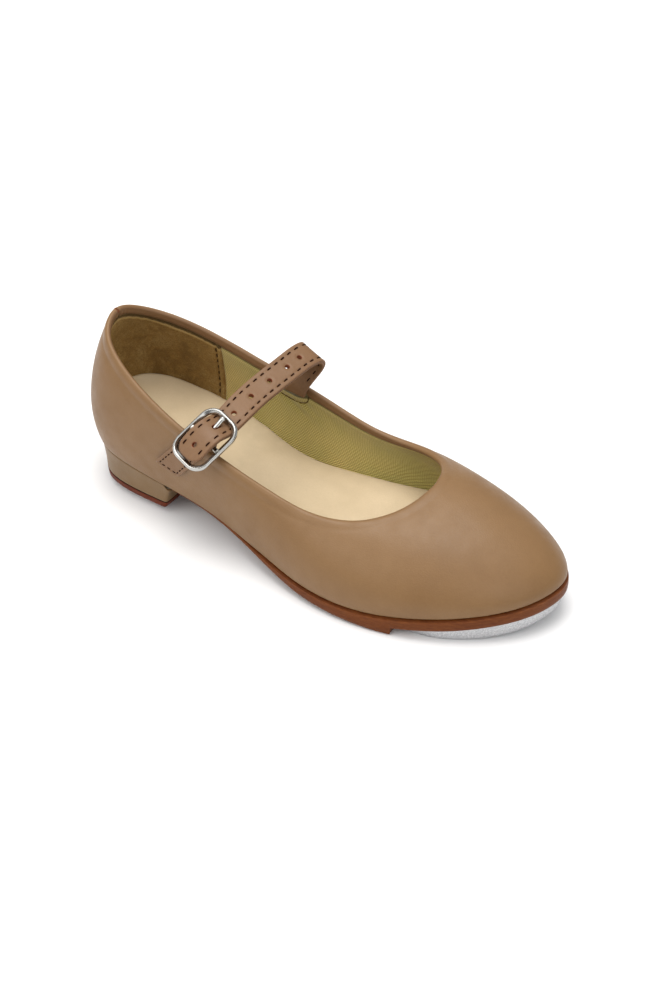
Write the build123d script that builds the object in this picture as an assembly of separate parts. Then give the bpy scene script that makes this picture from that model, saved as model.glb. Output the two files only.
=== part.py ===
from build123d import *
import os
import numpy as np

# Child's right tap shoe with a low heel, one buckled strap, and heel and toe taps.
# While modelling, x runs from the back of the heel seat towards the toe, y towards the wearer's
# left (the medial side) and z up from the ground. Saved pieces are shifted back by X_ORIGIN.

os.makedirs("parts", exist_ok=True)

# ---------------------------------------------------------------- driving dimensions (mm)
X_ORIGIN = 22.0        # saved origin, ahead of the back of the heel seat
X_BACK, X_FRONT = -8.0, 203.0   # cutting profiles run between these, past both ends of the shoe

UPPER_T = 1.20         # upper leather
GLUE = 0.06            # glue line between plies
COUNTER_T = 0.85       # heel counter
PUFF_T = 0.60          # toe puff
LINING_T = 0.60        # twill lining of the forepart
HEEL_LINING_T = 0.75   # brushed lining of the heel
BINDING_T = 0.80       # folded edge inside the topline
BINDING_DEPTH = 3.6    # how far the folded edge reaches down inside
BACK_SEAM = 1.2e-4     # half the slit at the back seam, as a share of the perimeter
LINING_SEAM = 0.135    # where heel and forepart linings meet, as a share of the perimeter
LINING_SLIT = 0.0006   # half the slit at that seam

FILLER_T = 1.20        # bottom filler and shank
BOARD_T = 1.80         # insole board
FOAM_T = 1.50          # sock foam
SOCK_T = 0.60          # sock lining
LAYER_GAP = 0.04       # between the layers of the bottom
FILLER_INSET = 4.6     # filler edge inside the feather line
BOARD_INSET = 3.35     # insole edge inside the feather line
SOCK_CLEAR = 0.22      # foam and sock lining inside the linings
SHANK_W, SHANK_T = 11.0, 1.05
SHANK_X = (26.0, 102.0)
STEP_X = 147.5         # step in the sole where the recess for the toe tap starts

HEEL_TAP_T = 2.2       # heel tap plate
HEEL_TAP_INSET = 3.0
LIFT_T = 3.0           # heel lift
HEEL_TAPER = 1.4       # the heel narrows all round by this much over HEEL_TAPER_H
HEEL_TAPER_H = 13.0
COVER_T = 0.8          # leather over the heel block
FIT = 0.05             # gap between heel pieces
SCREW_R = 1.3          # tap screw shank
HEEL_SCREW_HEAD_R = 2.7
TOE_SCREW_HEAD_R = 2.5
NAIL_R, NAIL_HEAD_R = 0.8, 1.7
HOLE_CLEAR = 0.03      # holes are this much larger in radius than what they hold
HEEL_SCREWS = [(11.0, 0.0), (32.0, -11.5), (32.0, 11.5)]
NAILS = [(9.5, -8.0), (9.5, 8.0), (25.0, -13.0), (25.0, 13.0)]
TOE_SCREWS = [(163.0, -13.5), (165.0, 15.5), (181.0, 5.0)]

FRAME_L, FRAME_W = 23.3, 16.2   # buckle frame, outside
FRAME_CORNER_R = 5.1
RIM = 2.25
FRAME_T = 1.8
BAR_R = 0.9            # centre bar
BORE_R = BAR_R + 0.05  # with running clearance
PRONG_R = 0.8
BUCKLE_CENTRE = np.array((64.2, -28.8, 47.2))
BUCKLE_ALONG = (0.342, 0.785, 0.516)      # along the strap, towards the medial side
BUCKLE_ACROSS = (0.934, -0.225, -0.278)   # across the strap, towards the toe
CHAPE_HALF_T = 1.0
STRAP_W = 10.9
STRAP_TIP = 5.4        # length of the rounded tip
PLY_T = 0.92           # each of the strap's two plies
PLY_GAP = 0.03         # from the strap's middle surface to each ply

# Stations round the last, from the back seam along the lateral side, round the toe and back along
# the medial side. Columns: feather line x, y; topline x, y, z; then the wall's two shape handles:
# rise and bulge at the feather line, drop and bulge at the topline.
STATIONS = np.array([
    (1.9, 0.0, 4.2, 0.0, 65.8, 15., 6.8, 16., 6.6),
    (3.8, -10.5, 6.4, -8.5, 64.0, 15., 6.6, 15., 6.4),
    (10.0, -19.0, 12.8, -15.4, 60.8, 14., 6.0, 14., 6.0),
    (20.3, -23.2, 23.0, -20.4, 56.4, 13., 5.2, 12., 4.9),
    (34.5, -24.6, 35.5, -24.2, 51.8, 12., 4.0, 11., 3.6),
    (50.0, -25.2, 50.0, -26.8, 46.7, 11., 3.0, 10., 2.6),
    (66.0, -26.8, 64.5, -28.2, 42.4, 10., 2.4, 9., 2.4),
    (82.0, -29.9, 79.0, -28.7, 38.4, 10., 2.2, 8., 2.8),
    (98.0, -34.0, 93.0, -28.4, 34.9, 10., 2.4, 6., 3.8),
    (113.0, -37.4, 105.0, -27.6, 32.6, 10., 2.6, 3.5, 5.4),
    (128.0, -38.5, 116.0, -25.4, 31.8, 10., 2.6, 1.5, 7.0),
    (143.0, -36.8, 125.0, -21.5, 32.2, 10., 2.6, .6, 9.0),
    (157.0, -32.6, 131.5, -16.4, 33.6, 10., 2.6, .3, 12.0),
    (169.5, -26.7, 135.8, -10.8, 35.0, 10., 2.6, .2, 15.5),
    (181.0, -18.2, 138.4, -5.0, 36.4, 10., 2.4, .2, 19.0),
    (189.0, -8.2, 139.6, 0.2, 37.4, 10., 2.0, .2, 21.5),
    (192.6, 2.6, 139.9, 4.6, 37.8, 10., 1.6, .2, 22.0),
    (191.2, 11.8, 139.0, 9.4, 37.6, 10., 1.6, .2, 20.5),
    (185.0, 19.8, 137.2, 14.2, 36.6, 10., 1.8, .6, 17.2),
    (175.0, 25.9, 133.8, 19.2, 35.0, 10., 1.9, .9, 13.4),
    (162.5, 30.0, 128.6, 23.8, 33.2, 10., 2.0, 1.1, 9.5),
    (148.0, 32.6, 120.4, 26.8, 32.0, 10., 2.2, 1.4, 7.5),
    (133.0, 32.4, 110.5, 27.8, 31.6, 10., 2.4, 2.7, 5.4),
    (118.5, 29.4, 100.5, 27.8, 32.6, 10., 2.6, 4.7, 4.0),
    (104.0, 26.0, 89.6, 27.8, 35.2, 10., 2.8, 7.0, 3.2),
    (88.0, 23.4, 77.2, 27.7, 38.7, 10., 2.8, 9.0, 2.6),
    (71.0, 22.0, 64.0, 26.9, 42.5, 11., 3.2, 10.0, 2.4),
    (54.0, 22.2, 50.0, 25.4, 46.7, 12., 3.8, 11.0, 2.8),
    (37.0, 23.4, 36.0, 23.2, 51.6, 12., 4.6, 12.0, 3.6),
    (21.2, 22.8, 23.0, 19.8, 56.2, 13., 5.4, 13.0, 4.8),
    (10.0, 18.6, 12.8, 14.9, 60.0, 14., 6.2, 14.0, 5.8),
    (3.8, 10.5, 6.4, 8.4, 63.4, 15., 6.8, 15.0, 6.4),
])
(FEATHER_X, FEATHER_Y, TOP_X, TOP_Y, TOP_Z,
 LOW_RISE, LOW_BULGE, HIGH_DROP, HIGH_BULGE) = STATIONS.T

# Profiles along the shoe, as (x, z).
FEATHER_LINE = [
    (-10, 19.6), (0, 18.8), (12, 17.6), (30, 15.6), (45, 13.9), (60, 12.4), (75, 10.1),
    (86, 8.3), (95, 7.2), (103, 6.4), (111, 5.9), (119, 5.7), (126, 5.7), (133, 6.0),
    (146, 7.1), (158, 8.6), (169, 10.2), (179, 11.8), (187, 13.2), (193, 14.4), (200, 15.8)]
SOLE_UNDERSIDE = [   # behind the step
    (-10, 17.4), (0, 16.7), (12, 15.5), (30, 13.5), (45, 11.8), (60, 10.1), (75, 8.2),
    (86, 6.4), (94, 4.8), (101, 3.4), (111, 2.0), (127, 0.9), (140, 0.25), (STEP_X, 0.0),
    (156, 0.0)]
RECESS_UNDERSIDE = [   # ahead of the step
    (140, 2.6), (148, 3.1), (158, 4.2), (169, 5.7), (179, 7.3), (187, 8.6), (194, 9.9),
    (202, 11.6)]
TAP_UNDERSIDE = [   # ground side of the toe tap
    (140, 0.0), (150, 0.0), (160, 0.0), (170, 0.15), (178, 0.8), (185, 2.0), (191, 3.6),
    (200, 6.6)]
# (x, inset of the outsole edge from the feather line): inside the heel cover, tucked in at the
# waist, proud ahead of it
SOLE_INSET = [(-20, 2.3), (30, 2.3), (46, 2.2), (56, 1.9), (68, 1.2), (80, 0.2), (92, -0.5),
              (110, -0.6), (210, -0.6)]
# (x, z) of the lateral topline near the buckle
CHAPE_TOPLINE = [(40, 50.0), (50, 46.7), (57, 44.5), (64.5, 42.4), (79, 38.4)]


# ---------------------------------------------------------------- splines
def cubic(knots, values, x):
    """natural cubic spline"""
    knots = np.asarray(knots, float)
    values = np.asarray(values, float)
    count = len(knots)
    step = np.diff(knots)
    matrix = np.zeros((count, count))
    right = np.zeros(count)
    matrix[0, 0] = matrix[-1, -1] = 1
    for i in range(1, count - 1):
        matrix[i, i - 1] = step[i - 1]
        matrix[i, i] = 2 * (step[i - 1] + step[i])
        matrix[i, i + 1] = step[i]
        right[i] = 6 * ((values[i + 1] - values[i]) / step[i]
                        - (values[i] - values[i - 1]) / step[i - 1])
    bend = np.linalg.solve(matrix, right)
    x = np.asarray(x, float)
    j = np.clip(np.searchsorted(knots, x) - 1, 0, count - 2)
    t = x - knots[j]
    slope = (values[j + 1] - values[j]) / step[j] - step[j] * (2 * bend[j] + bend[j + 1]) / 6
    return values[j] + t * (slope + t * (bend[j] / 2 + t * (bend[j + 1] - bend[j]) / (6 * step[j])))


def curve(table):
    knots, values = zip(*table)
    return lambda x: cubic(knots, values, x)


def periodic(values, s):
    """periodic cubic spline over uniform knots, s in shares of a turn"""
    count = len(values)
    s = np.asarray(s, float)
    eye = np.eye(count)
    matrix = 4 * eye + np.roll(eye, 1, 0) + np.roll(eye, -1, 0)
    bend = np.linalg.solve(matrix, 6 * (np.roll(values, -1) - 2 * values + np.roll(values, 1)))
    turn = (s % 1.) * count
    j = np.floor(turn).astype(int) % count
    t = turn - np.floor(turn)
    k = (j + 1) % count
    return ((1 - t) * values[j] + t * values[k]
            - t * (1 - t) * ((2 - t) * bend[j] + (1 + t) * bend[k]) / 6)


feather_z = curve(FEATHER_LINE)
sole_z = curve(SOLE_UNDERSIDE)
recess_z = curve(RECESS_UNDERSIDE)
tap_z = curve(TAP_UNDERSIDE)
sole_inset = curve(SOLE_INSET)
chape_topline_z = curve(CHAPE_TOPLINE)


# ---------------------------------------------------------------- wall of the upper
def outward(xs, ys, s):
    """unit plan normal of a closed line, pointing out of the shoe"""
    step = 1e-4
    dx = periodic(xs, s + step) - periodic(xs, s - step)
    dy = periodic(ys, s + step) - periodic(ys, s - step)
    length = np.hypot(dx, dy)
    return dy / length, -dx / length


def unit_cross(a, b):
    cross = np.cross(a, b)
    return cross / np.linalg.norm(cross, axis=-1, keepdims=True)


def wall(s, v):
    """outer surface of the upper: s round the last from the back seam, v from feather to topline"""
    s = np.asarray(s, float)
    v = np.asarray(v, float)
    low_x, low_y = outward(FEATHER_X, FEATHER_Y, s)
    high_x, high_y = outward(TOP_X, TOP_Y, s)
    x = periodic(FEATHER_X, s)
    low = np.stack([x, periodic(FEATHER_Y, s), feather_z(x)], -1)
    high = np.stack([periodic(column, s) for column in (TOP_X, TOP_Y, TOP_Z)], -1)
    bulge = periodic(LOW_BULGE, s)
    low_handle = low + np.stack([low_x * bulge, low_y * bulge, periodic(LOW_RISE, s)], -1)
    bulge = periodic(HIGH_BULGE, s)
    high_handle = high + np.stack([high_x * bulge, high_y * bulge, -periodic(HIGH_DROP, s)], -1)
    v = v[..., None]
    w = 1 - v
    return w ** 3 * low + 3 * w * w * v * low_handle + 3 * w * v * v * high_handle + v ** 3 * high


def ply_point(s, v, depth):
    """point at a depth under the upper's outer surface; its lower edge stands on the sole"""
    step = 2e-4
    normal = unit_cross(wall(s + step, v) - wall(s - step, v), wall(s, v + step) - wall(s, v - step))
    skin = wall(s, v)
    centre = np.stack([np.clip(skin[..., 0], 25, 150), 0 * skin[..., 1], skin[..., 2] - 12], -1)
    sign = np.sign((normal * (skin - centre)).sum(-1, keepdims=True))
    point = skin - normal * sign * depth
    foot = wall(s, 0 * v)
    foot_normal = unit_cross(wall(s + step, 0 * v) - wall(s - step, 0 * v),
                             wall(s, 0 * v + step) - foot) * sign
    inner_foot = foot - foot_normal * depth
    point[..., 2] += (feather_z(inner_foot[..., 0]) + 0.05 - inner_foot[..., 2]) * (1 - v) ** 8
    return point


def grid_solid(grid_a, grid_b):
    """closed solid between two point grids of the same size"""
    face_a, face_b = (
        Face.make_surface_from_array_of_points([[Vector(*p) for p in row] for row in grid], tol=0.01)
        for grid in (grid_a, grid_b))

    def sides(grid):
        return grid[0], grid[-1], grid[:, 0], grid[:, -1]

    def edge_along(face, row):
        marks = (row[len(row) // 4], row[len(row) // 2], row[3 * len(row) // 4])

        def distance(edge):
            return sum(min((edge.position_at(t) - Vector(*p)).length
                           for t in np.linspace(0, 1, 41)) for p in marks)
        return min(face.edges(), key=distance)

    faces = [face_a, face_b]
    for row_a, row_b in zip(sides(grid_a), sides(grid_b)):
        faces.append(Face.make_surface_from_curves(edge_along(face_a, row_a),
                                                   edge_along(face_b, row_b)))
    return Solid(Shell(faces))


def ply(s_span, v_span, depth, thickness, counts):
    """one ply: its span round the last and up the wall (numbers or functions of s), its depth"""
    s = np.linspace(*s_span, counts[0])
    low, high = (v(s) if callable(v) else np.full(counts[0], v) for v in v_span)
    t = np.linspace(0, 1, counts[1])[None, :]
    v_grid = low[:, None] * (1 - t) + high[:, None] * t
    s_grid = np.repeat(s[:, None], counts[1], 1)
    return grid_solid(ply_point(s_grid, v_grid, depth),
                      ply_point(s_grid, v_grid, depth + thickness))


def binding_v(extra=0.0):
    """wall position of the binding's lower edge, or a little below it"""
    def position(s):
        handle = 3 * np.hypot(periodic(HIGH_DROP, s), periodic(HIGH_BULGE, s))
        return 1 - (BINDING_DEPTH + extra) / handle
    return position


# ---------------------------------------------------------------- plan outlines and cutting bodies
def plan(inset, span=None, count=96):
    """feather line in plan, moved inwards by inset (a number or a function of x)"""
    s = np.linspace(0, 1, count, endpoint=False) if span is None else np.linspace(*span, count)
    x, y = periodic(FEATHER_X, s), periodic(FEATHER_Y, s)
    out_x, out_y = outward(FEATHER_X, FEATHER_Y, s)
    offset = -(inset(x) if callable(inset) else inset)
    return np.stack([x + out_x * offset, y + out_y * offset], -1)


def inner_plan(low, high):
    """plan outline just inside the linings for a layer low..high above the feather profile"""
    count = 120
    s = np.linspace(0, 1, count, endpoint=False)
    v = np.linspace(0.0, 0.75, 61)
    s_grid, v_grid = np.meshgrid(s, v, indexing="ij")
    least = np.where(np.minimum(s, 1 - s) < LINING_SEAM + 0.01,
                     HEEL_LINING_DEPTH + HEEL_LINING_T, LINING_DEPTH + LINING_T) + SOCK_CLEAR
    depth = least
    for _ in range(3):
        depth = (np.roll(depth, 1) + depth + np.roll(depth, -1)) / 3
    depth = np.maximum(depth, least)
    points = np.stack([ply_point(s_grid[i], v_grid[i], depth[i]) for i in range(count)])
    height = points[..., 2] - feather_z(points[..., 0])
    centre = np.stack([np.clip(points[:, 0, 0], 24, 168), 0 * s], -1)
    best = None
    for level in np.linspace(low, high, 5):
        outline = np.zeros((count, 2))
        for i in range(count):
            k = max(np.argmax(height[i] >= level), 1)
            w = (level - height[i, k - 1]) / (height[i, k] - height[i, k - 1])
            outline[i] = points[i, k - 1, :2] * (1 - w) + points[i, k, :2] * w
        if best is None:
            best = outline
        else:
            nearer = (np.linalg.norm(outline - centre, axis=1)
                      < np.linalg.norm(best - centre, axis=1))
            best = np.where(nearer[:, None], outline, best)
    for _ in range(2):
        best = (np.roll(best, 1, 0) + 2 * best + np.roll(best, -1, 0)) / 4
    return best[::2]


def prism(points, z0=-5, z1=30):
    outline = Wire([Edge.make_spline([Vector(x, y, z0) for x, y in points], periodic=True)])
    return extrude(Face(outline), amount=z1 - z0, dir=(0, 0, 1))


def side_cut(runs, y0=-60, y1=60):
    """body with a closed XZ outline made of runs of points; three or more make a spline"""
    edges = []
    last = first = None
    for points in runs:
        points = [Vector(x, y0, z) for x, z in points]
        if last is not None and (last - points[0]).length > 1e-6:
            edges.append(Edge.make_line(last, points[0]))
        if len(points) > 2:
            edges.append(Edge.make_spline(points))
        else:
            edges.append(Edge.make_line(points[0], points[1]))
        first = first or points[0]
        last = points[-1]
    if (last - first).length > 1e-6:
        edges.append(Edge.make_line(last, first))
    return extrude(Face(Wire(edges)), amount=y1 - y0, dir=(0, 1, 0))


def profile(height, x0, x1, dz, count):
    return [(float(x), float(height(x)) + dz) for x in np.linspace(x0, x1, count)]


def band(lower, low, upper, high, x0, x1, count=12, half_width=60):
    """body between two profiles, each shifted vertically"""
    return side_cut([profile(lower, x0, x1, low, count), profile(upper, x1, x0, high, count)],
                    -half_width, half_width)


def layer(points, low, high):
    """part of a prism between two heights above the feather profile"""
    return prism(points) & band(feather_z, low, feather_z, high, X_BACK, X_FRONT, 28)


def cylinder(x, y, z0, z1, radius):
    return Solid.make_cylinder(radius, z1 - z0, Plane(origin=(x, y, z0)))


def cone(x, y, z, bottom_r, top_r, height):
    return Solid.make_cone(bottom_r, top_r, height, Plane(origin=(x, y, z)))


def largest(shape):
    return max(shape.solids(), key=lambda solid: solid.volume)


def save(name, *shapes):
    solids = [solid.moved(Location((-X_ORIGIN, 0, 0)))
              for shape in shapes for solid in shape.solids()]
    piece = solids[0] if len(solids) == 1 else Compound(children=solids)
    export_step(piece, f"parts/{name}.step")


# ---------------------------------------------------------------- upper, linings, stiffeners
UNDER_UPPER = UPPER_T + GLUE
LINING_DEPTH = UNDER_UPPER + PUFF_T + GLUE
HEEL_LINING_DEPTH = UNDER_UPPER + COUNTER_T + GLUE
lining_edge = LINING_SEAM + LINING_SLIT
heel_lining_edge = LINING_SEAM - LINING_SLIT

save("upper", ply((BACK_SEAM, 1 - BACK_SEAM), (0.0, 1.0), 0.0, UPPER_T, (193, 21)))
save("topline_binding", ply((BACK_SEAM * 1.2, 1 - BACK_SEAM * 1.2), (binding_v(), 0.998),
                            UNDER_UPPER, BINDING_T, (193, 7)))
save("toe_puff", ply((0.40, 0.60), (0.015, 0.50), UNDER_UPPER, PUFF_T, (41, 13)))
save("vamp_lining", ply((lining_edge, 1 - lining_edge), (0.0, binding_v(0.15)),
                        LINING_DEPTH, LINING_T, (145, 17)))
save("heel_counter", ply((-0.105, 0.105), (0.0, 0.70), UNDER_UPPER, COUNTER_T, (61, 15)))
save("heel_lining", ply((-heel_lining_edge, heel_lining_edge), (0.0, binding_v(0.15)),
                        HEEL_LINING_DEPTH, HEEL_LINING_T, (81, 17)))

# ---------------------------------------------------------------- outsole, filler, shank, insole
sole_blank = prism(plan(sole_inset))
sole_profile = side_cut([
    profile(feather_z, X_BACK, X_FRONT, -0.02, 29),
    [(X_FRONT, float(feather_z(X_FRONT))), (X_FRONT, float(recess_z(X_FRONT)))],
    profile(recess_z, X_FRONT, STEP_X + 0.3, 0, 9),
    profile(sole_z, STEP_X, X_BACK, 0, 26)])
outsole = largest(sole_blank & sole_profile)

shank = largest(band(feather_z, 0.08, feather_z, 0.08 + SHANK_T, *SHANK_X,
                     half_width=SHANK_W / 2))
shank_slot = band(feather_z, -1, feather_z, 3, SHANK_X[0] - 1, SHANK_X[1] + 1,
                  half_width=SHANK_W / 2 + 0.3)
filler = largest(layer(plan(FILLER_INSET), LAYER_GAP, FILLER_T) - shank_slot)
BOARD_Z = FILLER_T + LAYER_GAP
board = largest(layer(plan(BOARD_INSET), BOARD_Z, BOARD_Z + BOARD_T))


def sock_layer(z, thickness):
    outline = inner_plan(z - 0.2, z + thickness + 0.2)
    return largest(layer(outline, z, z + thickness))


FOAM_Z = BOARD_Z + BOARD_T + LAYER_GAP
save("sock_foam", sock_layer(FOAM_Z, FOAM_T))
save("sock_lining", sock_layer(FOAM_Z + FOAM_T + LAYER_GAP, SOCK_T))


# ---------------------------------------------------------------- heel
def breast(z, inset):
    """x of the heel's sloping front"""
    return 41.2 + (z - 3.0) * 0.32 - inset


def heel_loft(inset):
    """heel body with its wall moved in by inset; runs on forwards past the breast"""
    def section(z):
        wall_inset = 0.15 + inset + HEEL_TAPER / HEEL_TAPER_H * (18 - z)
        points = plan(wall_inset, (-0.26, 0.26), 61)
        edge = Edge.make_spline([Vector(x, y, z) for x, y in points])
        return Wire([edge, Edge.make_line(edge.position_at(1), edge.position_at(0))])
    return Solid.make_loft([section(0.0), section(22.0)], ruled=True)


def heel_cut(z0, top, inset=0.0, top_shift=0.0):
    """side profile of the heel from z0 up to a height or a shifted profile"""
    base = [(X_BACK, z0), (breast(z0, inset), z0)]
    if callable(top):
        front = breast(float(top(46)) + top_shift, inset)
        return side_cut([base, profile(top, front, X_BACK, top_shift, 9)])
    return side_cut([base, [(breast(top, inset), top), (X_BACK, top)]])


LIFT_TOP = HEEL_TAP_T + LIFT_T
block = largest(heel_loft(COVER_T + FIT)
                & heel_cut(LIFT_TOP + FIT, sole_z, COVER_T + FIT, -FIT))
cover = ((heel_loft(0.0) & heel_cut(LIFT_TOP + FIT, feather_z, 0.0, -0.04))
         - (heel_loft(COVER_T) & heel_cut(LIFT_TOP - 1, feather_z, COVER_T, 2.0)))
# room for the outsole where it passes through the cover
front_room = (side_cut([[(30, 0), (80, 0)], [(80, 30), (30, 30)]])
              & side_cut([profile(sole_z, 30, 80, -0.05, 9), [(80, 30), (30, 30)]]))
seat_room = (prism(plan(lambda x: sole_inset(x) - 0.05), 8, 30)
             & side_cut([profile(sole_z, X_BACK, 60, -0.03, 12), [(60, 30), (X_BACK, 30)]]))
cover = largest(cover - (front_room & sole_blank) - seat_room)
lift = largest(heel_loft(0.0) & heel_cut(HEEL_TAP_T, LIFT_TOP))
heel_tap = largest(heel_loft(HEEL_TAP_INSET) & heel_cut(0.0, HEEL_TAP_T - 0.02, HEEL_TAP_INSET))


def screw(x, y, shank_z, head_z, head_r, head_h, slot_l, slot_h):
    """countersunk screw, head down, with a cross slot; shank_z is its (bottom, top)"""
    body = cylinder(x, y, *shank_z, SCREW_R) + cone(x, y, head_z, head_r, SCREW_R, head_h)
    place = Location((x, y, head_z))
    slot = Box(slot_l, 0.7, slot_h).moved(place) + Box(0.7, slot_l, slot_h).moved(place)
    return largest(body - slot)


screw_hole_r = SCREW_R + HOLE_CLEAR
heel_screws = []
for x, y in HEEL_SCREWS:
    heel_screws.append(screw(x, y, (0.6, 9.2), 0.25, HEEL_SCREW_HEAD_R, 1.4, 3.6, 0.8))
    heel_tap -= cylinder(x, y, -1, 4, screw_hole_r)
    heel_tap -= cone(x, y, 0.0, HEEL_SCREW_HEAD_R + HOLE_CLEAR + 0.25, screw_hole_r, 1.65)
    lift -= cylinder(x, y, 0, 8, screw_hole_r)
    block -= cylinder(x, y, 4, 9.4, screw_hole_r)

# nails from the insole board down into the heel block
nails = []
for x, y in NAILS:
    top = float(feather_z(x)) + BOARD_Z + BOARD_T
    nails.append(largest(cylinder(x, y, top - 9.5, top - 0.25, NAIL_R)
                         + cylinder(x, y, top - 0.75, top - 0.15, NAIL_HEAD_R)))
    hole = cylinder(x, y, top - 9.7, top + 1, NAIL_R + HOLE_CLEAR)
    block -= hole
    outsole -= hole
    filler -= hole
    head_room = cylinder(x, y, top - 0.75 - HOLE_CLEAR, top + 2, NAIL_HEAD_R + HOLE_CLEAR)
    board = board - hole - head_room


# ---------------------------------------------------------------- toe tap, its board and screws
def tap_blank(inset, rear):
    """forepart outline closed at the back by a shallow hollow arc"""
    z0, z1 = -1, 16
    outline = plan(lambda x: sole_inset(x) + inset, (0.26, 0.74), 97)
    toe = Edge.make_spline([Vector(x, y, z0) for x, y in outline if x > rear])
    start, end = toe.position_at(1), toe.position_at(0)
    middle = Vector(rear + 2.6, (start.Y + end.Y) / 2, z0)
    back = Edge.make_three_point_arc(start, middle, end)
    return extrude(Face(Wire([toe, back])), amount=z1 - z0, dir=(0, 0, 1))


def tap_body(inset, rear, low, high):
    """tap outline from low above the tap's ground side to high above the sole recess"""
    return tap_blank(inset, rear) & band(tap_z, low, recess_z, high, 146, 202)


# the tap is a shell, with the board in its hollow
toe_tap = largest(tap_body(1.8, 151.5, 0, -0.04) - tap_body(4.6, 156.5, 1.5, 1.0))
tap_board = largest(tap_body(5.15, 159.4, 1.62, -0.08))
toe_screws = []
head_hole_r = TOE_SCREW_HEAD_R + HOLE_CLEAR
for x, y in TOE_SCREWS:
    z = float(tap_z(x))
    toe_screws.append(screw(x, y, (z + 0.9, z + 7.4), z + 0.45, TOE_SCREW_HEAD_R, 1.15, 3.2, 0.7))
    toe_tap -= cylinder(x, y, z - 1, z + 4, screw_hole_r)
    toe_tap -= cone(x, y, z + 0.43, head_hole_r, screw_hole_r, 1.15 + HOLE_CLEAR)
    toe_tap -= cylinder(x, y, z - 2, z + 0.44, head_hole_r)
    tap_board -= cylinder(x, y, z - 1, z + 9, screw_hole_r) + cylinder(x, y, z - 1, z + 2.1, 2.3)
    outsole -= cylinder(x, y, z, z + 7.6, screw_hole_r)

save("outsole", largest(outsole))
save("shank", shank)
save("bottom_filler", largest(filler))
save("insole_board", largest(board))
save("heel_block", largest(block))
save("heel_cover", cover)
save("heel_lift", largest(lift))
save("heel_tap", largest(heel_tap))
save("heel_tap_screws", *heel_screws)
save("heel_nails", *nails)
save("toe_tap", largest(toe_tap))
save("toe_tap_board", largest(tap_board))
save("toe_tap_screws", *toe_screws)

# ---------------------------------------------------------------- buckle
# local frame: x across the strap, y along it towards the medial side, z out of the buckle's face
along = np.array(BUCKLE_ALONG)
along /= np.linalg.norm(along)
across = np.array(BUCKLE_ACROSS)
across -= along * (across @ along)
across /= np.linalg.norm(across)
out = np.cross(across, along)
to_buckle = Plane(origin=tuple(BUCKLE_CENTRE), x_dir=tuple(across), z_dir=tuple(out)).location


def at_buckle(x, y, z):
    """shoe coordinates of a point in the buckle's frame"""
    return BUCKLE_CENTRE + across * x + along * y + out * z


def ring_face(length, width, radius):
    with BuildSketch(Plane.XY) as sketch:
        RectangleRounded(width, length, radius)
    return sketch.sketch


def on_bar(radius, length):
    """cylinder about the centre bar's axis, centred on the buckle"""
    return Solid.make_cylinder(radius, length, Plane(origin=(-length / 2, 0, 0), z_dir=(1, 0, 0)))


def buckle_frame():
    outside = extrude(ring_face(FRAME_L, FRAME_W, FRAME_CORNER_R), amount=FRAME_T / 2, both=True)
    opening = ring_face(FRAME_L - 2 * RIM, FRAME_W - 2 * RIM + 0.2, 2.3)
    ring = outside - extrude(opening, amount=FRAME_T, both=True)
    ring = fillet(ring.edges(), 0.45)
    return largest((ring + on_bar(BAR_R, FRAME_W - 2 * RIM + 1.6)).moved(to_buckle))


def buckle_prong():
    bore = on_bar(BORE_R, 4.0)
    hub = on_bar(BORE_R + 0.75, 2.0) - bore
    rest_z = FRAME_T / 2 + PRONG_R   # the tip lies on the frame's face
    path = Edge.make_spline([Vector(0, 1.3, 0.35), Vector(0, 4, 0.85), Vector(0, 7.5, 1.42),
                             Vector(0, 10.2, rest_z + 0.03), Vector(0, 11.3, rest_z)])
    arm = sweep(Plane(origin=path @ 0, z_dir=path % 0) * Circle(PRONG_R), path=Wire([path]))
    tip = Sphere(PRONG_R).moved(Location(tuple(path @ 1)))
    return largest((hub + arm + tip) - bore).moved(to_buckle)


save("buckle_frame", buckle_frame())
save("buckle_prong", buckle_prong())

# ---------------------------------------------------------------- chape: tab on the lateral wall
WALL_POINTS = wall(*np.meshgrid(np.linspace(0.04, 0.34, 121), np.linspace(0.0, 1.0, 61),
                                indexing="ij")).reshape(-1, 3)
# (x, y, z) of the tab's lower corners; y is then set from the wall
CHAPE_END = [np.array((41.6, 0, 28.0)), np.array((52.6, 0, 25.5))]


def chape_y(x, z):
    """y of the tab's middle surface where it lies against the lateral wall"""
    distance = (WALL_POINTS[:, 0] - x) ** 2 + (WALL_POINTS[:, 2] - z) ** 2
    k = np.argsort(distance)[:4]
    weight = 1 / (distance[k] + 1e-6)
    return float((WALL_POINTS[k, 1] * weight).sum() / weight.sum()) - CHAPE_HALF_T - 0.72


def chape_centre():
    bar_ends = at_buckle(-4.6, 0, 0), at_buckle(4.6, 0, 0)
    rows = []
    for down in np.linspace(0.055, 1, 15):
        row = []
        for side in np.linspace(0, 1, 7):
            top = bar_ends[0] * (1 - side) + bar_ends[1] * side
            end = CHAPE_END[0] * (1 - side) + CHAPE_END[1] * side
            point = top * (1 - down) + end * down
            x, _, z = point
            top_z = float(chape_topline_z(x))
            wall_y = chape_y(x, min(z, top_z))
            # hug the wall well below the topline, run straight to the bar above it
            hug = np.clip((top_z + 1.5 - z) / 5.0, 0, 1)
            hug = hug * hug * (3 - 2 * hug)
            straight_y = top[1] * (1 - down) + chape_y(end[0], end[2]) * down
            rise = max(0.0, z - top_z - 1.0)   # free to lean in only above the topline
            point[1] = (min(wall_y, straight_y) * hug
                        + min(straight_y, wall_y + 1.2 * rise) * (1 - hug))
            row.append(point)
        rows.append(row)
    return np.array(rows)


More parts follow.
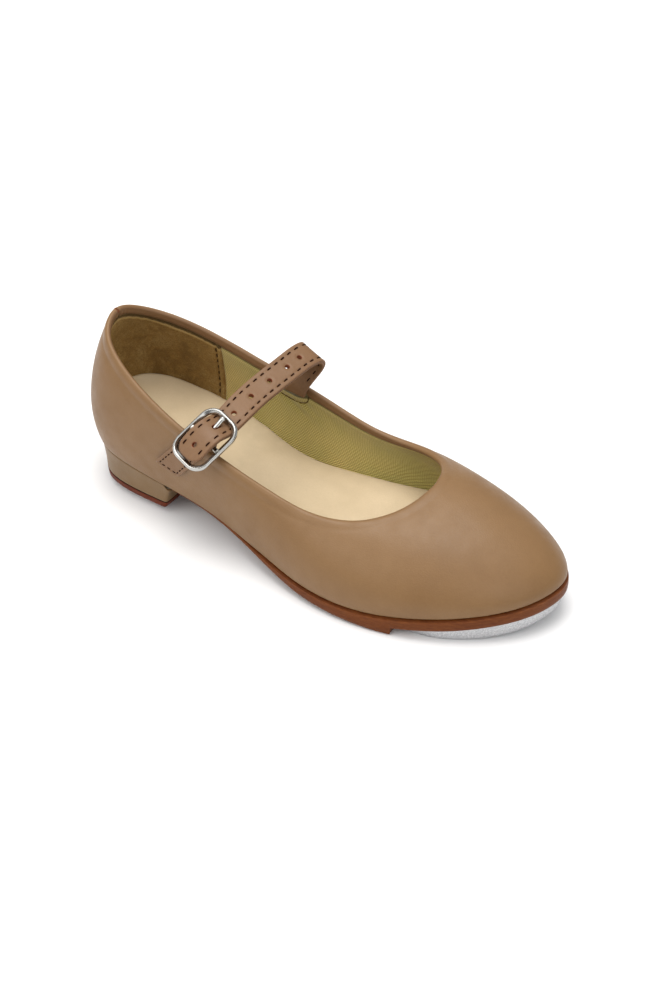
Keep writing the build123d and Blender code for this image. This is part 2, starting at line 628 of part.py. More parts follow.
def buckle_chape():
    centre = chape_centre()
    offset = unit_cross(np.gradient(centre, axis=0), np.gradient(centre, axis=1)) * CHAPE_HALF_T
    slab = grid_solid(centre + offset, centre - offset)
    loop = on_bar(BORE_R + 1.0, 9.6).moved(to_buckle)
    bore = on_bar(BORE_R, 14).moved(to_buckle)
    prong_notch = Box(2.3, 8.2, 5.4).moved(Location((0, 1.2, 0.3))).moved(to_buckle)
    return largest((slab + loop) - bore - prong_notch)


save("buckle_chape", buckle_chape())

# ---------------------------------------------------------------- strap
# Middle line from the tip over the bar: (along, out) in the buckle's frame
STRAP_AT_BUCKLE = [(-9.0, 1.9), (-4.5, 2.95), (0.0, 3.15), (3.4, 1.95), (6.8, -0.95),
                   (8.9, -2.1), (12.0, -2.75)]
# then over the instep and down inside the medial wall: point x, y, z; direction across x, y, z
STRAP_OVER_FOOT = np.array([
    (68.8, -8.0, 53.2, 0.93, -0.21, -0.30),
    (70.2, 4.0, 55.0, 0.925, -0.19, -0.33),
    (71.5, 15.0, 56.1, 0.92, -0.18, -0.35),
    (72.4, 23.5, 56.4, 0.92, -0.16, -0.36),
    (72.9, 27.2, 55.4, 0.92, -0.10, -0.36),
    (72.6, 28.7, 52.6, 0.93, -0.04, -0.34),
    (70.8, 27.4, 48.4, 0.94, 0.0, -0.32),
    (68.9, 24.9, 44.6, 0.95, 0.02, -0.30),
    (67.8, 23.0, 41.0, 0.955, 0.03, -0.296),
    (67.3, 22.5, 38.0, 0.955, 0.03, -0.296),
    (67.2, 22.4, 35.2, 0.955, 0.03, -0.296),
])
STRAP_HOLES = [-4.0, 15.6, 25.7, 35.8, 45.5, 52.5]   # distance past the bar
STRAP_HOLE_R = 0.95

strap_line = np.vstack([[at_buckle(0, y, z) for y, z in STRAP_AT_BUCKLE], STRAP_OVER_FOOT[:, :3]])
strap_across = np.vstack([[across] * len(STRAP_AT_BUCKLE), STRAP_OVER_FOOT[:, 3:]])
arc = np.concatenate([[0], np.cumsum(np.linalg.norm(np.diff(strap_line, axis=0), axis=1))])
strap_length = float(arc[-1])
bar_arc = float(arc[2])


def strap_frame(t):
    """point, direction across and outward normal at distance t from the tip"""
    def along_strap(rows, t):
        return np.stack([cubic(arc, rows[:, i], t) for i in range(3)], -1)

    step = 0.05
    tangent = along_strap(strap_line, t + step) - along_strap(strap_line, t - step)
    tangent /= np.linalg.norm(tangent, axis=-1, keepdims=True)
    side = along_strap(strap_across, t)
    side -= tangent * (side * tangent).sum(-1, keepdims=True)
    side /= np.linalg.norm(side, axis=-1, keepdims=True)
    return along_strap(strap_line, t), side, np.cross(side, tangent)


def ribbon(t, half, first, second):
    """solid along the strap with half widths half, between two heights over its middle"""
    point, side, normal = strap_frame(t)
    width = half[:, None] * np.linspace(-1, 1, 9)[None, :]
    middle = point[:, None, :] + side[:, None, :] * width[..., None]
    normal = normal[:, None, :]
    return grid_solid(middle + normal * first, middle + normal * second)


def strap_ply(low, high):
    t = np.concatenate([STRAP_TIP * (1 - np.cos(np.linspace(0.30, np.pi / 2, 14))),
                        np.linspace(STRAP_TIP, strap_length, 121)[1:]])
    rounded = np.sqrt(np.clip(1 - ((STRAP_TIP - t) / STRAP_TIP) ** 2, 0, 1))
    strap = ribbon(t, np.where(t < STRAP_TIP, STRAP_W / 2 * rounded, STRAP_W / 2), high, low)
    for distance in STRAP_HOLES:
        point, _, normal = strap_frame(np.array([bar_arc + distance]))
        plane = Plane(origin=tuple(point[0] - normal[0] * 3), z_dir=tuple(normal[0]))
        strap -= Solid.make_cylinder(STRAP_HOLE_R, 6, plane)
    # slot for the prong
    strap -= Box(2.2, 5.4, 7.0).moved(Location((0, 4.6, 1.0))).moved(to_buckle)
    return largest(strap)


def anchor_patch():
    """D-shaped patch over the strap's root, on its inner side"""
    t = np.linspace(strap_length - 8.6, strap_length + 1.2, 13)
    share = np.clip(np.linspace(0, 1, 13) - 0.35, 0, 1) / 0.75
    half = 7.4 * np.sqrt(np.clip(1 - share ** 2, 0.08, 1))
    depth = PLY_GAP + PLY_T + 0.08
    return ribbon(t, half, -depth, -(depth + 0.5))


save("strap_outer", strap_ply(PLY_GAP, PLY_GAP + PLY_T))
save("strap_backing", strap_ply(-PLY_GAP - PLY_T, -PLY_GAP))
save("strap_anchor_patch", anchor_patch())
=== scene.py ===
import bpy, bmesh, math
import numpy as np
from math import sin, cos, pi, radians
from mathutils import Vector, Matrix


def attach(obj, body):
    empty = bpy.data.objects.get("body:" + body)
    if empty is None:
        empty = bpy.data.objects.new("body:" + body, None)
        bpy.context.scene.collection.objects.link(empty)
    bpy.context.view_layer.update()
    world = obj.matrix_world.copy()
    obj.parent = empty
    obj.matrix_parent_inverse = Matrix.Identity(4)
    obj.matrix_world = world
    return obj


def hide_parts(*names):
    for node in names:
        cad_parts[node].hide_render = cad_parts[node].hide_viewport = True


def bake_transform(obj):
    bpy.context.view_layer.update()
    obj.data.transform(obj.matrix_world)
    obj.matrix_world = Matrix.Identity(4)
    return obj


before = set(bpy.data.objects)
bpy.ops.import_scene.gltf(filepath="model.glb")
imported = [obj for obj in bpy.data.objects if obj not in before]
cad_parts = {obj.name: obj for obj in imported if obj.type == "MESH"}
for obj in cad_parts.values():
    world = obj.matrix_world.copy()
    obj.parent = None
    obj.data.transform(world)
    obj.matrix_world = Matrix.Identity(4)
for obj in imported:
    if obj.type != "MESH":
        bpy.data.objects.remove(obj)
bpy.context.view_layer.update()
rng = np.random.default_rng(7)

# ------------------------------------------------------------------ shape of the last, in mm (row x = last x - 22)
X_ORIGIN = 22.0
T_UPPER, GAP, T_LINING, T_HEEL_LINING, T_BINDING = 1.20, 0.06, 0.60, 0.75, 0.80
SEAM_S = 0.1235
STEP_X = 147.5
HEEL_TAP_T, LIFT_T, HEEL_TAPER = 2.2, 3.0, 1.4
STRAP_W, PLY_T = 10.9, 0.92
FRAME_L, FRAME_W, FRAME_R, RIM, FRAME_T = 23.3, 16.2, 5.1, 2.25, 1.8
BAR_R, RUN = 0.9, 0.05
ST=[
#  Fx    Fy     Tx     Ty     Tz    h1   b1   h2   b2
 (  1.9,  0.0,   4.2,   0.0, 65.8, 15., 6.8, 16., 6.6),
 (  3.8,-10.5,   6.4,  -8.5, 64.0, 15., 6.6, 15., 6.4),
 ( 10.0,-19.0,  12.8, -15.4, 60.8, 14., 6.0, 14., 6.0),
 ( 20.3,-23.2,  23.0, -20.4, 56.4, 13., 5.2, 12., 4.9),
 ( 34.5,-24.6,  35.5, -24.2, 51.8, 12., 4.0, 11., 3.6),
 ( 50.0,-25.2,  50.0, -26.8, 46.7, 11., 3.0, 10., 2.6),
 ( 66.0,-26.8,  64.5, -28.2, 42.4, 10., 2.4,  9., 2.4),
 ( 82.0,-29.9,  79.0, -28.7, 38.4, 10., 2.2,  8., 2.8),
 ( 98.0,-34.0,  93.0, -28.4, 34.9, 10., 2.4,  6., 3.8),
 (113.0,-37.4, 105.0, -27.6, 32.6, 10., 2.6, 3.5, 5.4),
 (128.0,-38.5, 116.0, -25.4, 31.8, 10., 2.6, 1.5, 7.0),
 (143.0,-36.8, 125.0, -21.5, 32.2, 10., 2.6,  .6, 9.0),
 (157.0,-32.6, 131.5, -16.4, 33.6, 10., 2.6,  .3,12.0),
 (169.5,-26.7, 135.8, -10.8, 35.0, 10., 2.6,  .2,15.5),
 (181.0,-18.2, 138.4,  -5.0, 36.4, 10., 2.4,  .2,19.0),
 (189.0, -8.2, 139.6,   0.2, 37.4, 10., 2.0,  .2,21.5),
 (192.6,  2.6, 139.9,   4.6, 37.8, 10., 1.6,  .2,22.0),
 (191.2, 11.8, 139.0,   9.4, 37.6, 10., 1.6,  .2,20.5),
 (185.0, 19.8, 137.2,  14.2, 36.6, 10., 1.8,  .6,17.2),
 (175.0, 25.9, 133.8,  19.2, 35.0, 10., 1.9,  .9,13.4),
 (162.5, 30.0, 128.6,  23.8, 33.2, 10., 2.0,  1.1, 9.5),
 (148.0, 32.6, 120.4,  26.8, 32.0, 10., 2.2, 1.4, 7.5),
 (133.0, 32.4, 110.5,  27.8, 31.6, 10., 2.4, 2.7, 5.4),
 (118.5, 29.4, 100.5,  27.8, 32.6, 10., 2.6, 4.7, 4.0),
 (104.0, 26.0,  89.6,  27.8, 35.2, 10., 2.8, 7.0, 3.2),
 ( 88.0, 23.4,  77.2,  27.7, 38.7, 10., 2.8, 9.0, 2.6),
 ( 71.0, 22.0,  64.0,  26.9, 42.5, 11., 3.2,10.0, 2.4),
 ( 54.0, 22.2,  50.0,  25.4, 46.7, 12., 3.8,11.0, 2.8),
 ( 37.0, 23.4,  36.0,  23.2, 51.6, 12., 4.6,12.0, 3.6),
 ( 21.2, 22.8,  23.0,  19.8, 56.2, 13., 5.4,13.0, 4.8),
 ( 10.0, 18.6,  12.8,  14.9, 60.0, 14., 6.2,14.0, 5.8),
 (  3.8, 10.5,   6.4,   8.4, 63.4, 15., 6.8,15.0, 6.4),
]
ZF=[(-10,19.6),(0,18.8),(12,17.6),(30,15.6),(45,13.9),(60,12.4),(75,10.1),(86,8.3),(95,7.2),(103,6.4),(111,5.9),(119,5.7),(126,5.7),(133,6.0),(146,7.1),(158,8.6),(169,10.2),(179,11.8),(187,13.2),(193,14.4),(200,15.8)]
ZB = [(-10, 17.4), (0, 16.7), (12, 15.5), (30, 13.5), (45, 11.8), (60, 10.1), (75, 8.2), (86, 6.4), (94, 4.8), (101, 3.4), (111, 2.0), (127, 0.9), (140, 0.25), (STEP_X, 0.0), (156, 0.0)]
ZS = [(140, 2.6), (148, 3.1), (158, 4.2), (169, 5.7), (179, 7.3), (187, 8.6), (194, 9.9), (202, 11.6)]
ZT = [(140, 0.0), (150, 0.0), (160, 0.0), (170, 0.15), (178, 0.8), (185, 2.0), (191, 3.6), (200, 6.6)]


def nat(xk, yk, x):
    xk = np.asarray(xk, float); yk = np.asarray(yk, float); n = len(xk); h = np.diff(xk)
    A = np.zeros((n, n)); r = np.zeros(n); A[0, 0] = A[-1, -1] = 1
    for i in range(1, n - 1):
        A[i, i - 1] = h[i - 1]; A[i, i] = 2 * (h[i - 1] + h[i]); A[i, i + 1] = h[i]
        r[i] = 6 * ((yk[i + 1] - yk[i]) / h[i] - (yk[i] - yk[i - 1]) / h[i - 1])
    m = np.linalg.solve(A, r); x = np.asarray(x, float); j = np.clip(np.searchsorted(xk, x) - 1, 0, n - 2)
    t = x - xk[j]; b = (yk[j + 1] - yk[j]) / h[j] - h[j] * (2 * m[j] + m[j + 1]) / 6
    return yk[j] + t * (b + t * (m[j] / 2 + t * (m[j + 1] - m[j]) / (6 * h[j])))


def tab(t):
    return lambda x: nat([p[0] for p in t], [p[1] for p in t], x)


def per(yk, s):
    yk = np.asarray(yk, float); n = len(yk); s = np.asarray(s, float)
    A = 4 * np.eye(n) + np.roll(np.eye(n), 1, 0) + np.roll(np.eye(n), -1, 0)
    m = np.linalg.solve(A, 6 * (np.roll(yk, -1) - 2 * yk + np.roll(yk, 1)))
    q = (s % 1.) * n; j = np.floor(q).astype(int) % n; t = q - np.floor(q); k = (j + 1) % n
    return (1 - t) * yk[j] + t * yk[k] - t * (1 - t) * ((2 - t) * m[j] + (1 + t) * m[k]) / 6


TAB = np.array(ST)
zf, zb, zs, zt = tab(ZF), tab(ZB), tab(ZS), tab(ZT)


def surf(s, v):
    s = np.asarray(s, float); v = np.asarray(v, float)
    c = [per(TAB[:, i], s) for i in range(9)]
    ds = 1e-4
    dx = per(TAB[:, 0], s + ds) - per(TAB[:, 0], s - ds); dy = per(TAB[:, 1], s + ds) - per(TAB[:, 1], s - ds)
    l = np.hypot(dx, dy); nx, ny = dy / l, -dx / l
    tx = per(TAB[:, 2], s + ds) - per(TAB[:, 2], s - ds); ty = per(TAB[:, 3], s + ds) - per(TAB[:, 3], s - ds)
    l = np.hypot(tx, ty); mx, my = ty / l, -tx / l
    F = np.stack([c[0], c[1], zf(c[0])], -1); T = np.stack([c[2], c[3], c[4]], -1)
    P1 = F + np.stack([nx * c[6], ny * c[6], c[5]], -1)
    P2 = T + np.stack([mx * c[8], my * c[8], -c[7]], -1)
    v = v[..., None]; w = 1 - v
    return w ** 3 * F + 3 * w * w * v * P1 + 3 * w * v * v * P2 + v ** 3 * T


def wall_normal(s, v):
    e = 2e-4
    a = surf(s + e, v) - surf(s - e, v); b = surf(s, v + e) - surf(s, v - e)
    n = np.cross(a, b); n /= np.linalg.norm(n, axis=-1, keepdims=True)
    c0 = surf(s, v); ctr = np.stack([np.clip(c0[..., 0], 25, 150), 0 * c0[..., 1], c0[..., 2] - 12], -1)
    return n * np.sign((n * (c0 - ctr)).sum(-1, keepdims=True)), c0


def ply_point(s, v, d):
    """point at depth d (number or array) under the upper's outer surface"""
    n, c0 = wall_normal(s, v)
    d = np.asarray(d, float)[..., None] if np.ndim(d) else d
    p = c0 - n * d
    n0, f0 = wall_normal(s, 0 * v)
    q0 = f0 - n0 * d
    p[..., 2] += (zf(q0[..., 0]) + 0.05 - q0[..., 2]) * (1 - v) ** 8
    return p


def wall_len(s):
    """arc length of the wall from feather line to topline"""
    v = np.linspace(0, 1, 41)
    S, V = np.meshgrid(np.atleast_1d(s), v, indexing="ij")
    P = surf(S, V)
    return np.linalg.norm(np.diff(P, axis=1), axis=2).sum(1)


S_LEN = np.linspace(0, 1, 721)
W_LEN = wall_len(S_LEN)
_v = np.linspace(0, 1, 161)
_SS, _VV = np.meshgrid(np.linspace(0, 1, 361), _v, indexing="ij")
_PP = surf(_SS, _VV)
ARC = np.concatenate([np.zeros((361, 1)), np.cumsum(np.linalg.norm(np.diff(_PP, axis=1), axis=2), axis=1)], axis=1)
_T = surf(S_LEN, 0 * S_LEN + 1); TOP_ARC = np.concatenate([[0], np.cumsum(np.linalg.norm(np.diff(_T, axis=0), axis=1))])
_F = surf(S_LEN, 0 * S_LEN); FEA_ARC = np.concatenate([[0], np.cumsum(np.linalg.norm(np.diff(_F, axis=0), axis=1))])


def v_of(s, down):
    """v of the point `down` mm below the topline, measured along the wall"""
    s = np.asarray(s, float) % 1.0; down = np.broadcast_to(np.asarray(down, float), s.shape)
    out = np.zeros(s.shape); f = s * 360; i0 = np.floor(f).astype(int) % 360; w = f - np.floor(f)
    for idx in np.ndindex(s.shape):
        a = ARC[i0[idx]] * (1 - w[idx]) + ARC[i0[idx] + 1] * w[idx]
        out[idx] = np.interp(a[-1] - down[idx], a, _v)
    return out


def down_of(s, v):
    """mm below the topline along the wall"""
    s = np.asarray(s, float) % 1.0; v = np.asarray(v, float)
    f = s * 360; i0 = np.floor(f).astype(int) % 360; w = f - np.floor(f)
    q = np.clip(v, 0, 1) * 160; j0 = np.clip(np.floor(q).astype(int), 0, 159); r = q - j0
    i1 = i0 + 1
    g = lambda i, j: ARC[i, j]
    a = (g(i0, j0) * (1 - w) + g(i1, j0) * w) * (1 - r) + (g(i0, j0 + 1) * (1 - w) + g(i1, j0 + 1) * w) * r
    L = ARC[i0, -1] * (1 - w) + ARC[i1, -1] * w
    return L - a


# ------------------------------------------------------------------ mesh helpers
def row(p):
    p = np.asarray(p, float).reshape(-1, 3)
    return (p - (X_ORIGIN, 0, 0)) / 1000.0


def make(name, verts, faces, mats, body=None, fmat=None, fab=None, smooth=True, slot=None, replaces=(), weld=1e-7, sharp=None):
    """verts in last mm; fab: one vector per vertex in mm, read by the materials as the material's own coordinates"""
    me = bpy.data.meshes.new(name)
    me.from_pydata(row(verts).tolist(), [], [list(map(int, f)) for f in faces])
    me.update()
    if fab is not None:
        a = me.attributes.new("fab", "FLOAT_VECTOR", "POINT")
        a.data.foreach_set("vector", (np.asarray(fab, float).reshape(-1, 3)).astype(np.float32).ravel())
    for m in mats if isinstance(mats, (list, tuple)) else [mats]:
        me.materials.append(m)
    if fmat is not None:
        me.polygons.foreach_set("material_index", np.asarray(fmat, np.int32))
    bm = bmesh.new(); bm.from_mesh(me)
    bmesh.ops.remove_doubles(bm, verts=bm.verts, dist=weld)
    bmesh.ops.dissolve_degenerate(bm, dist=1e-8, edges=bm.edges)
    bmesh.ops.recalc_face_normals(bm, faces=bm.faces)
    bm.to_mesh(me); bm.free()
    me.polygons.foreach_set("use_smooth", [smooth] * len(me.polygons))
    if sharp:
        me.set_sharp_from_angle(angle=radians(sharp))
    me.update()
    o = bpy.data.objects.new(name, me)
    bpy.context.scene.collection.objects.link(o)
    if body:
        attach(o, body)
    if replaces:
        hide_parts(*replaces)
    return o


def quads(nu, nv, wrap_u=False, wrap_v=False, base=0):
    U = nu if wrap_u else nu - 1; V = nv if wrap_v else nv - 1
    i, j = np.meshgrid(np.arange(U), np.arange(V), indexing="ij")
    a = i * nv + j; b = ((i + 1) % nu) * nv + j; c = ((i + 1) % nu) * nv + (j + 1) % nv; d = i * nv + (j + 1) % nv
    return (np.stack([a, b, c, d], -1).reshape(-1, 4) + base).tolist()


def slab(top, bot, rings):
    """closed mesh from a top grid, a bottom grid of the same shape and perimeter rings between them (grids too)"""
    nu, nv = top.shape[:2]
    per_idx = [(i, 0) for i in range(nu)] + [(nu - 1, j) for j in range(1, nv)] + [(i, nv - 1) for i in range(nu - 2, -1, -1)] + [(0, j) for j in range(nv - 2, 0, -1)]
    flat = np.array([i * nv + j for i, j in per_idx])
    V = [top.reshape(-1, 3)]; F = quads(nu, nv)
    base = nu * nv; prev = flat
    for r in rings:
        V.append(r.reshape(-1, 3)[flat]); cur = np.arange(len(flat)) + base; base += len(flat)
        nx_ = np.roll(np.arange(len(flat)), -1)
        F += np.stack([prev, prev[nx_], cur[nx_], cur], -1).tolist(); prev = cur
    V.append(bot.reshape(-1, 3)); cur = flat + base
    nx_ = np.roll(np.arange(len(flat)), -1)
    F += np.stack([prev, prev[nx_], cur[nx_], cur], -1).tolist()
    F += [f[::-1] for f in quads(nu, nv, base=base)]
    return np.concatenate(V), F


def tube(path, rad, sides=10, flat_normal=None, close=False):
    """swept round tube with hemispherical ends; rad per point"""
    P = np.asarray(path, float); n = len(P); rad = np.broadcast_to(np.asarray(rad, float), (n,))
    T = np.gradient(P, axis=0)
    if close:
        T = np.roll(P, -1, 0) - np.roll(P, 1, 0)
    T /= np.linalg.norm(T, axis=1, keepdims=True)
    ref = np.array(flat_normal if flat_normal is not None else (0.3, 0.2, 1.0), float)
    A = ref - T * (T @ ref)[:, None]; A /= np.linalg.norm(A, axis=1, keepdims=True); B = np.cross(T, A)
    th = np.linspace(0, 2 * pi, sides, endpoint=False)
    R = P[:, None] + (A[:, None] * np.cos(th)[None, :, None] + B[:, None] * np.sin(th)[None, :, None]) * rad[:, None, None]
    V = R.reshape(-1, 3); F = quads(n, sides, wrap_u=close, wrap_v=True)
    if not close:
        k = len(V)
        V = np.concatenate([V, [P[0] - T[0] * rad[0] * 0.6], [P[-1] + T[-1] * rad[-1] * 0.6]])
        F += [[k, (j + 1) % sides, j] for j in range(sides)]
        F += [[k + 1, (n - 1) * sides + j, (n - 1) * sides + (j + 1) % sides] for j in range(sides)]
    return V, F


class Bag:
    """several shapes gathered into one mesh"""
    def __init__(self):
        self.v, self.f, self.a, self.n = [], [], [], 0

    def add(self, v, f, fab=None):
        self.v.append(np.asarray(v, float)); self.f += [[i + self.n for i in q] for q in f]
        self.a.append(np.asarray(fab, float) if fab is not None else np.asarray(v, float)); self.n += len(v)

    def make(self, name, mats, **kw):
        return make(name, np.concatenate(self.v), self.f, mats, fab=np.concatenate(self.a), **kw)


def stitch(bag, p0, p1, n, r=0.24, sink=0.28, rise=0.16, width=1.0):
    """one thread stitch lying from p0 to p1 on a surface with normal n, its ends sunk into their needle holes"""
    p0, p1, n = map(np.asarray, (p0, p1, n))
    t = np.linspace(0, 1, 9)
    h = rise - (rise + sink) * np.abs(2 * t - 1) ** 4
    path = p0 * (1 - t)[:, None] + p1 * t[:, None] + n * h[:, None]
    rr = r * (1 - 0.35 * np.abs(2 * t - 1) ** 3)
    v, f = tube(path, rr, 8, flat_normal=n)
    L = np.linalg.norm(p1 - p0)
    d = (p1 - p0) / max(L, 1e-6); b = np.cross(n, d)
    fab = np.stack([(v - p0) @ d, (v - p0) @ b, (v - p0) @ n], -1)
    bag.add(v, f, fab)


# ------------------------------------------------------------------ materials
def srgb(r, g, b):
    f = lambda c: (c / 255 / 12.92) if c / 255 <= 0.04045 else ((c / 255 + 0.055) / 1.055) ** 2.4
    return (f(r), f(g), f(b), 1.0)


class M:
    """small helper for node trees"""
    def __init__(self, name):
        self.m = bpy.data.materials.new(name); self.m.use_nodes = True
        self.t = self.m.node_tree; self.t.nodes.clear()
        self.out = self.n("ShaderNodeOutputMaterial"); self.b = self.n("ShaderNodeBsdfPrincipled")
        self.l(self.b.outputs[0], self.out.inputs[0])

    def n(self, kind, **kw):
        x = self.t.nodes.new(kind)
        for k, v in kw.items():
            setattr(x, k, v)
        return x

    def l(self, a, b):
        self.t.links.new(a, b)

    def val(self, sock, v):
        if hasattr(v, "type") and hasattr(v, "links"):
            self.l(v, sock)
        else:
            sock.default_value = v

    def math(self, op, a, b=0.0, c=None, clamp=False):
        x = self.n("ShaderNodeMath", operation=op, use_clamp=clamp)
        self.val(x.inputs[0], a); self.val(x.inputs[1], b)
        if c is not None:
            self.val(x.inputs[2], c)
        return x.outputs[0]

    def noise(self, vec, scale, detail=3.0, rough=0.55, dist=0.0):
        x = self.n("ShaderNodeTexNoise"); self.l(vec, x.inputs["Vector"])
        x.inputs["Scale"].default_value = scale; x.inputs["Detail"].default_value = detail
        x.inputs["Roughness"].default_value = rough; x.inputs["Distortion"].default_value = dist
        return x.outputs["Fac"]

    def voronoi(self, vec, scale, feature="F1", rnd=1.0, smooth=None):
        x = self.n("ShaderNodeTexVoronoi", feature=feature); self.l(vec, x.inputs["Vector"])
        x.inputs["Scale"].default_value = scale; x.inputs["Randomness"].default_value = rnd
        if smooth is not None and "Smoothness" in x.inputs:
            x.inputs["Smoothness"].default_value = smooth
        return x.outputs["Distance"]

    def ramp(self, fac, stops, interp="LINEAR"):
        x = self.n("ShaderNodeValToRGB"); self.val(x.inputs[0], fac); e = x.color_ramp.elements; x.color_ramp.interpolation = interp
        e[0].position, e[0].color = stops[0]; e[1].position, e[1].color = stops[-1]
        for p, c in stops[1:-1]:
            q = e.new(p); q.color = c
        return x.outputs[0]

    def mix(self, fac, a, b, mode="MIX"):
        x = self.n("ShaderNodeMix", data_type="RGBA", blend_type=mode); self.val(x.inputs["Factor"], fac)
        self.val(x.inputs["A"] if False else x.inputs[6], a); self.val(x.inputs[7], b)
        return x.outputs[2]

    def maprange(self, v, a, b, c, d):
        x = self.n("ShaderNodeMapRange"); self.val(x.inputs[0], v)
        for i, k in enumerate((a, b, c, d)):
            x.inputs[i + 1].default_value = k
        return x.outputs[0]

    def mm(self, scale=(1, 1, 1), kind="fab", rot=(0, 0, 0), loc=(0, 0, 0)):
        """coordinates in mm: the mesh's own (fab) or the object's"""
        if kind == "fab":
            a = self.n("ShaderNodeAttribute", attribute_name="fab"); src = a.outputs["Vector"]; k = 1.0
        else:
            a = self.n("ShaderNodeTexCoord"); src = a.outputs["Object"]; k = 1000.0
        mp = self.n("ShaderNodeMapping"); self.l(src, mp.inputs["Vector"])
        mp.inputs["Scale"].default_value = tuple(k * q for q in scale); mp.inputs["Rotation"].default_value = rot; mp.inputs["Location"].default_value = loc
        return mp.outputs["Vector"]

    def bump(self, height, dist_mm, strength=1.0, normal=None):
        x = self.n("ShaderNodeBump"); self.l(height, x.inputs["Height"]); x.inputs["Distance"].default_value = dist_mm / 1000.0
        x.inputs["Strength"].default_value = strength
        if normal is not None:
            self.l(normal, x.inputs["Normal"])
        return x.outputs[0]

    def edge(self, lo=0.50, hi=0.56):
        g = self.n("ShaderNodeNewGeometry")
        return self.maprange(g.outputs["Pointiness"], lo, hi, 0.0, 1.0)

    # mask of concave places, where the materials paint shade into hollows and creases
    def cavity_shade(self, lo=0.50, hi=0.44):
        g = self.n("ShaderNodeNewGeometry")
        return self.maprange(g.outputs["Pointiness"], lo, hi, 0.0, 1.0)

    def set(self, **kw):
        names = dict(color="Base Color", rough="Roughness", metal="Metallic", spec="Specular IOR Level", normal="Normal", sheen="Sheen Weight", sheen_rough="Sheen Roughness",
                     sheen_tint="Sheen Tint", coat="Coat Weight", coat_rough="Coat Roughness", sss="Subsurface Weight", aniso="Anisotropic")
        for k, v in kw.items():
            self.val(self.b.inputs[names[k]], v)
        return self.m


def leather(name, base, dark, light, kind="fab", grain=0.55, rough=0.44, bump=0.05, coat=0.06):
    """smooth dyed leather: fine pores and creases, slightly blotchy colour, lighter on convex edges (rubbed wear plus a
    painted edge highlight), painted shade in hollows
    """
    m = M(name); v = m.mm(kind=kind); o = m.mm(kind="obj")
    big = m.noise(o, 0.028, 3, 0.55, 0.4); mid = m.noise(o, 0.16, 4, 0.6); fine = m.noise(o, 1.3, 4, 0.65)
    c = m.mix(m.maprange(big, 0.52, 0.30, 0.0, 0.22), base, dark)
    c = m.mix(m.maprange(big, 0.52, 0.76, 0.0, 0.22), c, light)
    c = m.mix(m.maprange(mid, 0.40, 0.68, 0.0, 0.10), c, dark)
    c = m.mix(m.maprange(fine, 0.4, 0.7, 0.0, 0.12), c, light)
    pore = m.voronoi(o, 1.0 / grain, "SMOOTH_F1", 1.0, 0.35); pore2 = m.voronoi(o, 2.4 / grain, "F1", 1.0)
    h = m.math("ADD", m.math("MULTIPLY", pore, 0.7), m.math("MULTIPLY", pore2, 0.35))
    h = m.math("ADD", h, m.math("MULTIPLY", m.noise(o, 0.55, 5, 0.6, 0.6), 0.8))
    c = m.mix(m.math("MULTIPLY", m.maprange(pore, 0.12, 0.0, 0.0, 1.0), 0.18), c, dark)
    # convex edges lighter: rubbed wear plus a painted highlight
    c = m.mix(m.math("MULTIPLY", m.edge(0.515, 0.60), 0.35), c, light)
    # painted shade: darker in hollows and creases
    c = m.mix(m.math("MULTIPLY", m.cavity_shade(0.485, 0.40), 0.5), c, tuple(q * 0.45 for q in dark[:3]) + (1,))
    r = m.maprange(mid, 0.3, 0.7, rough - 0.06, rough + 0.08)
    r = m.math("ADD", r, m.math("MULTIPLY", m.maprange(fine, 0.3, 0.7, -1.0, 1.0), 0.03))
    return m.set(color=c, rough=r, spec=0.36, normal=m.bump(h, bump), coat=coat, coat_rough=0.35)


